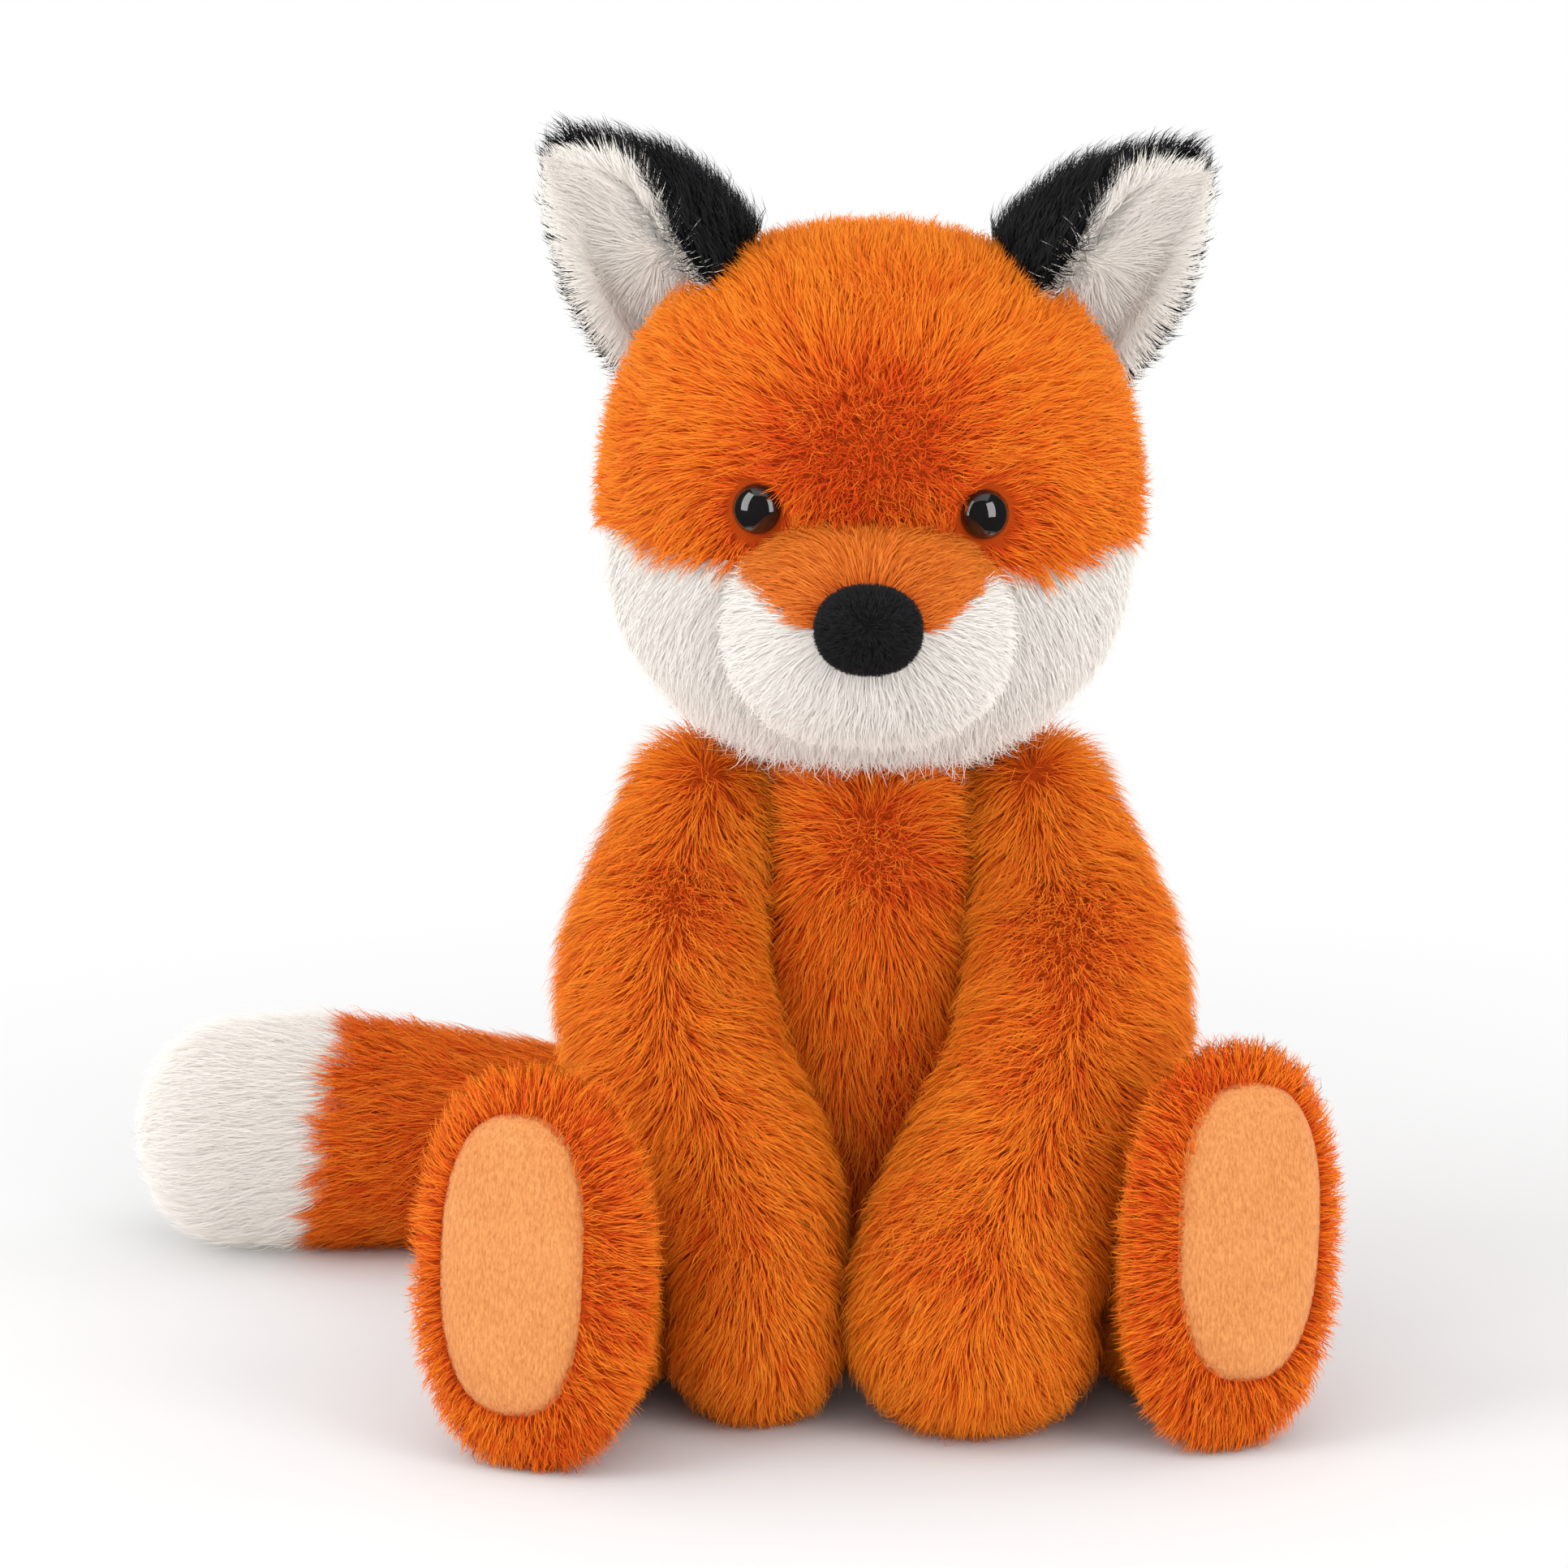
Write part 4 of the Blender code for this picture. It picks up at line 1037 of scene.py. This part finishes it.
def pad_frame(side, stations):
    """The middle of a foot pad's rim, and the directions out of, across and up the sole."""
    out, across, up = foot_frame(*FEET[side])
    aside, rise = PAD_SHIFT[side]
    return np.array(stations[-1][:3]) + across * aside + up * rise + out * PAD_FORWARD, out, across, up


def dress_leg(side, stations, looks):
    frame = foot_frame(*FEET[side])
    form = limb_form(stations, LEG_DOMES, BACKING, frame=frame, squareness=(2.0, 2.4))
    leg = f"{side}_leg"
    backing(f"{leg}_backing", form, looks["orange ground"], leg, (f"{leg}_cover",))
    points, normals, _, _ = form.scatter(DENSITY["limb"], 81)
    middle, out, across, up = pad_frame(side, stations)
    x, y, forward = ((points - middle) @ direction for direction in (across, up, out))
    oval = (abs(x) / (PAD_HALF_WIDTH - PAD_HEM)) ** PAD_SQUARENESS
    oval += (abs(y) / (PAD_HALF_HEIGHT - PAD_HEM)) ** PAD_SQUARENESS
    keep = ~inside_torso(points, -2) & ~((oval < 1) & (forward > -12))
    p, n, forward = points[keep], normals[keep], forward[keep]
    rim = (1 - ease(oval[keep], 1, 2)) * ease(forward, -12, -4)
    radial = unit(np.outer(x[keep], across) * 1.6 + np.outer(y[keep], up))
    sole = ease(forward, -30, -6)[:, None]
    comb = radial * (0.35 + 0.75 * sole) - out * (0.8 - 0.55 * sole) + np.array((0, 0, -0.35)) * (1 - sole)
    length = 10.5 - 2.5 * sole[:, 0] - 1.5 * rim
    coat = {**COATS["orange"], "length": length, "lift": 45 + 33 * rim, "curl": 0.3 * rim}
    tone = -0.12 + 0.1 * rim
    grow(f"{leg}_fur", p, n, comb, coat, looks["orange"], leg, "orange_pile", 82, tone)
    dress_pad(side, middle, out, across, up, looks)


def dress_pad(side, middle, out, across, up, looks):
    """A crowned velour sole, sewn in so that its edge dips under the coat round it."""
    rings = []
    steps = ((-3.0, 1.03), (-1.8, 1.03), (-1.0, 1.01), (-0.4, 0.985), (0.2, 0.95), (0.8, 0.9))
    steps += ((1.5, 0.8), (2.1, 0.65), (2.45, 0.45), (2.6, 0.2), (2.6, 0.01))
    for forward, scale in steps:
        size = PAD_HALF_WIDTH - PAD_HALF_WIDTH * (1 - scale), PAD_HALF_HEIGHT - PAD_HALF_WIDTH * (1 - scale)
        rings.append(ellipse(middle + out * forward, across, up, *size, PAD_SQUARENESS))
    obj = add_shell(f"{side}_sole", np.vstack(rings), SIDES, looks["velour"], f"{side}_leg")
    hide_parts(f"{side}_foot_pad")


def tail_tip(points):
    """Whether places on the tail lie on its white tip."""
    slant = 0.14 * (points[:, 2] - TAIL[-1][2])
    return points[:, 0] < TAIL_TIP_X + 2.5 + slant + 1.2 * waves(points, 10, 8)


def dress_tail(looks):
    form = limb_form(TAIL, TAIL_DOMES, BACKING, side=(0, 1, 0))
    nodes = ("tail_cover", "tail_tip_cover")
    patch = looks["white ground"], tail_tip
    backing("tail_backing", form, looks["orange ground"], "tail", nodes, patch=patch)
    points, normals, _, _ = form.scatter(DENSITY["tail"], 91)
    keep = ~inside_torso(points, -2)
    sparse = np.random.default_rng(94).random(len(points)) < TAIL_THINNING
    tip = tail_tip(points)
    for name, area, coat, lift, tone, seed in (
        ("tail_fur", keep & ~tip & sparse, "orange", 42, -0.12, 92),
        ("tail_tip_fur", keep & tip, "white", 32, 0.0, 93),
    ):
        p, n = points[area], normals[area]
        comb = np.array((-1, 0, -0.1)) + 0.35 * n
        end = ease(-p[:, 0], 165, 189)
        values = {**COATS[coat], "length": 11 - 3 * end, "lift": lift + 45 * end, "curl": 0.4 * end}
        grow(name, p, n, comb, values, looks[coat], "tail", f"{coat}_pile", seed, tone)


def add_camera():
    camera = bpy.data.cameras.new("camera")
    camera.lens = CAMERA_LENS
    camera.sensor_width = 36
    camera.shift_x = CAMERA_SHIFT
    camera.clip_end = 20
    obj = bpy.data.objects.new("camera", camera)
    rise = radians(CAMERA_ELEVATION)
    away = Vector((0, -cos(rise), sin(rise))) * CAMERA_DISTANCE
    obj.location = (Vector(CAMERA_TARGET) + away) * MM
    obj.rotation_euler = (pi / 2 - rise, 0, 0)
    bpy.context.scene.collection.objects.link(obj)
    bpy.context.scene.camera = obj


def add_light(name, place, target, size, power, mirrored):
    light = bpy.data.lights.new(name, "AREA")
    light.shape = "RECTANGLE"
    light.size, light.size_y = (value * MM for value in size)
    light.energy = power
    obj = bpy.data.objects.new(name, light)
    obj.location = Vector(place) * MM
    obj.rotation_euler = (Vector(target) - Vector(place)).to_track_quat("-Z", "Y").to_euler()
    obj.visible_glossy = mirrored
    bpy.context.scene.collection.objects.link(obj)


def add_studio():
    scene = bpy.context.scene
    scene.view_settings.view_transform = "Standard"
    add_world(scene)
    for name, lamp in LAMPS.items():
        add_light(name, *lamp)
    add_floor(scene)


def add_world(scene):
    """A soft pale surround. The camera sees it white; what mirrors sees it dark on the camera's side."""
    world = bpy.data.worlds.new("studio")
    scene.world = world
    world.use_nodes = True
    tree = world.node_tree
    soft = tree.nodes["Background"]
    set_inputs(soft, {"Color": (1, 1, 1, 1), "Strength": SURROUND})
    white = tree.nodes.new("ShaderNodeBackground")
    set_inputs(white, {"Color": (1, 1, 1, 1)})
    room = tree.nodes.new("ShaderNodeBackground")
    places = tree.nodes.new("ShaderNodeTexCoord")
    parts = tree.nodes.new("ShaderNodeSeparateXYZ")
    tree.links.new(places.outputs["Generated"], parts.inputs["Vector"])
    stops = (0.8, ROOM_COLOUR), (0.95, (1, 1, 1))
    tree.links.new(ramp(tree, remap(tree, parts.outputs["Y"], -1, 1), stops), room.inputs["Color"])
    seen = blend(tree, soft.outputs["Background"], room.outputs["Background"], in_mirrors(tree))
    seen = blend(tree, seen, white.outputs["Background"], in_camera(tree))
    tree.links.new(seen, tree.nodes["World Output"].inputs["Surface"])


def in_camera(tree):
    return tree.nodes.new("ShaderNodeLightPath").outputs["Is Camera Ray"]


def in_mirrors(tree):
    """1 for what metal and glass show, else 0."""
    path = tree.nodes.new("ShaderNodeLightPath")
    return arithmetic(tree, "MAXIMUM", path.outputs["Is Glossy Ray"], path.outputs["Is Transmission Ray"])


def arithmetic(tree, operation, first, second):
    node = tree.nodes.new("ShaderNodeMath")
    node.operation = operation
    tree.links.new(first, node.inputs[0])
    tree.links.new(second, node.inputs[1])
    return node.outputs["Value"]


def blend(tree, first, second, share):
    """Mixes two shaders by a share of the second."""
    node = tree.nodes.new("ShaderNodeMixShader")
    tree.links.new(share, node.inputs["Fac"])
    tree.links.new(first, node.inputs[1])
    tree.links.new(second, node.inputs[2])
    return node.outputs["Shader"]


def remap(tree, value, low, high):
    """A socket's value as 0 at low and 1 at high, with a smooth step between."""
    node = tree.nodes.new("ShaderNodeMapRange")
    node.interpolation_type = "SMOOTHSTEP"
    set_inputs(node, {"From Min": low, "From Max": high})
    tree.links.new(value, node.inputs["Value"])
    return node.outputs["Result"]


def add_floor(scene):
    """A pale floor with the fox's shadow, which fades to white away from it."""
    values = {"Base Color": (FLOOR_TONE, FLOOR_TONE, FLOOR_TONE, 1), "Specular IOR Level": 0.0}
    floor, tree, shader = new_material("floor", 0.9, values)
    places = tree.nodes.new("ShaderNodeTexCoord")
    length = tree.nodes.new("ShaderNodeVectorMath")
    length.operation = "LENGTH"
    tree.links.new(places.outputs["Object"], length.inputs[0])
    white = tree.nodes.new("ShaderNodeEmission")
    room = tree.nodes.new("ShaderNodeEmission")
    set_inputs(room, {"Color": (*ROOM_COLOUR, 1)})
    far = arithmetic(tree, "MULTIPLY", remap(tree, length.outputs["Value"], *FLOOR_FADE), in_camera(tree))
    beyond = remap(tree, length.outputs["Value"], *ROOM_EDGE)
    room_share = arithmetic(tree, "MULTIPLY", beyond, in_mirrors(tree))
    seen = blend(tree, shader.outputs["BSDF"], white.outputs["Emission"], far)
    seen = blend(tree, seen, room.outputs["Emission"], room_share)
    tree.links.new(seen, tree.nodes["Material Output"].inputs["Surface"])
    mesh = bpy.data.meshes.new("floor")
    corners = [(-4, -3, 0), (4, -3, 0), (4, 8, 0), (-4, 8, 0)]
    mesh.from_pydata(corners, [], [(0, 1, 2, 3)])
    mesh.materials.append(floor)
    obj = bpy.data.objects.new("floor", mesh)
    scene.collection.objects.link(obj)


def main():
    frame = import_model()
    add_camera()
    add_studio()
    looks = {
        "orange": coat_material("orange pile", ORANGE_COAT, (1, 0.3, 0.02)),
        "brown": coat_material("brown pile", BROWN_COAT, (1, 0.3, 0.03)),
        "white": coat_material("white pile", WHITE_COAT, (1, 0.96, 0.9)),
        "black": coat_material("black pile", BLACK_COAT, (0.03, 0.03, 0.035)),
        "orange ground": backing_material("orange ground", (0.46, 0.055, 0.003)),
        "brown ground": backing_material("brown ground", (0.42, 0.07, 0.006)),
        "white ground": backing_material("white ground", (0.90, 0.83, 0.76)),
        "black ground": backing_material("black ground", (0.006, 0.006, 0.007)),
        "velour": velour_material(),
        "eye": eye_material(),
    }
    dress_torso(looks)
    dress_head(looks)
    dress_muzzle(looks)
    dress_nose(looks)
    dress_eyes(looks)
    dress_ears(looks)
    for side, arm, leg in (("left", LEFT_ARM, LEFT_LEG), ("right", RIGHT_ARM, RIGHT_LEG)):
        dress_arm(side, arm, looks)
        dress_leg(side, leg, looks)
    dress_tail(looks)
    dress_inside(frame["nodes"])


main()
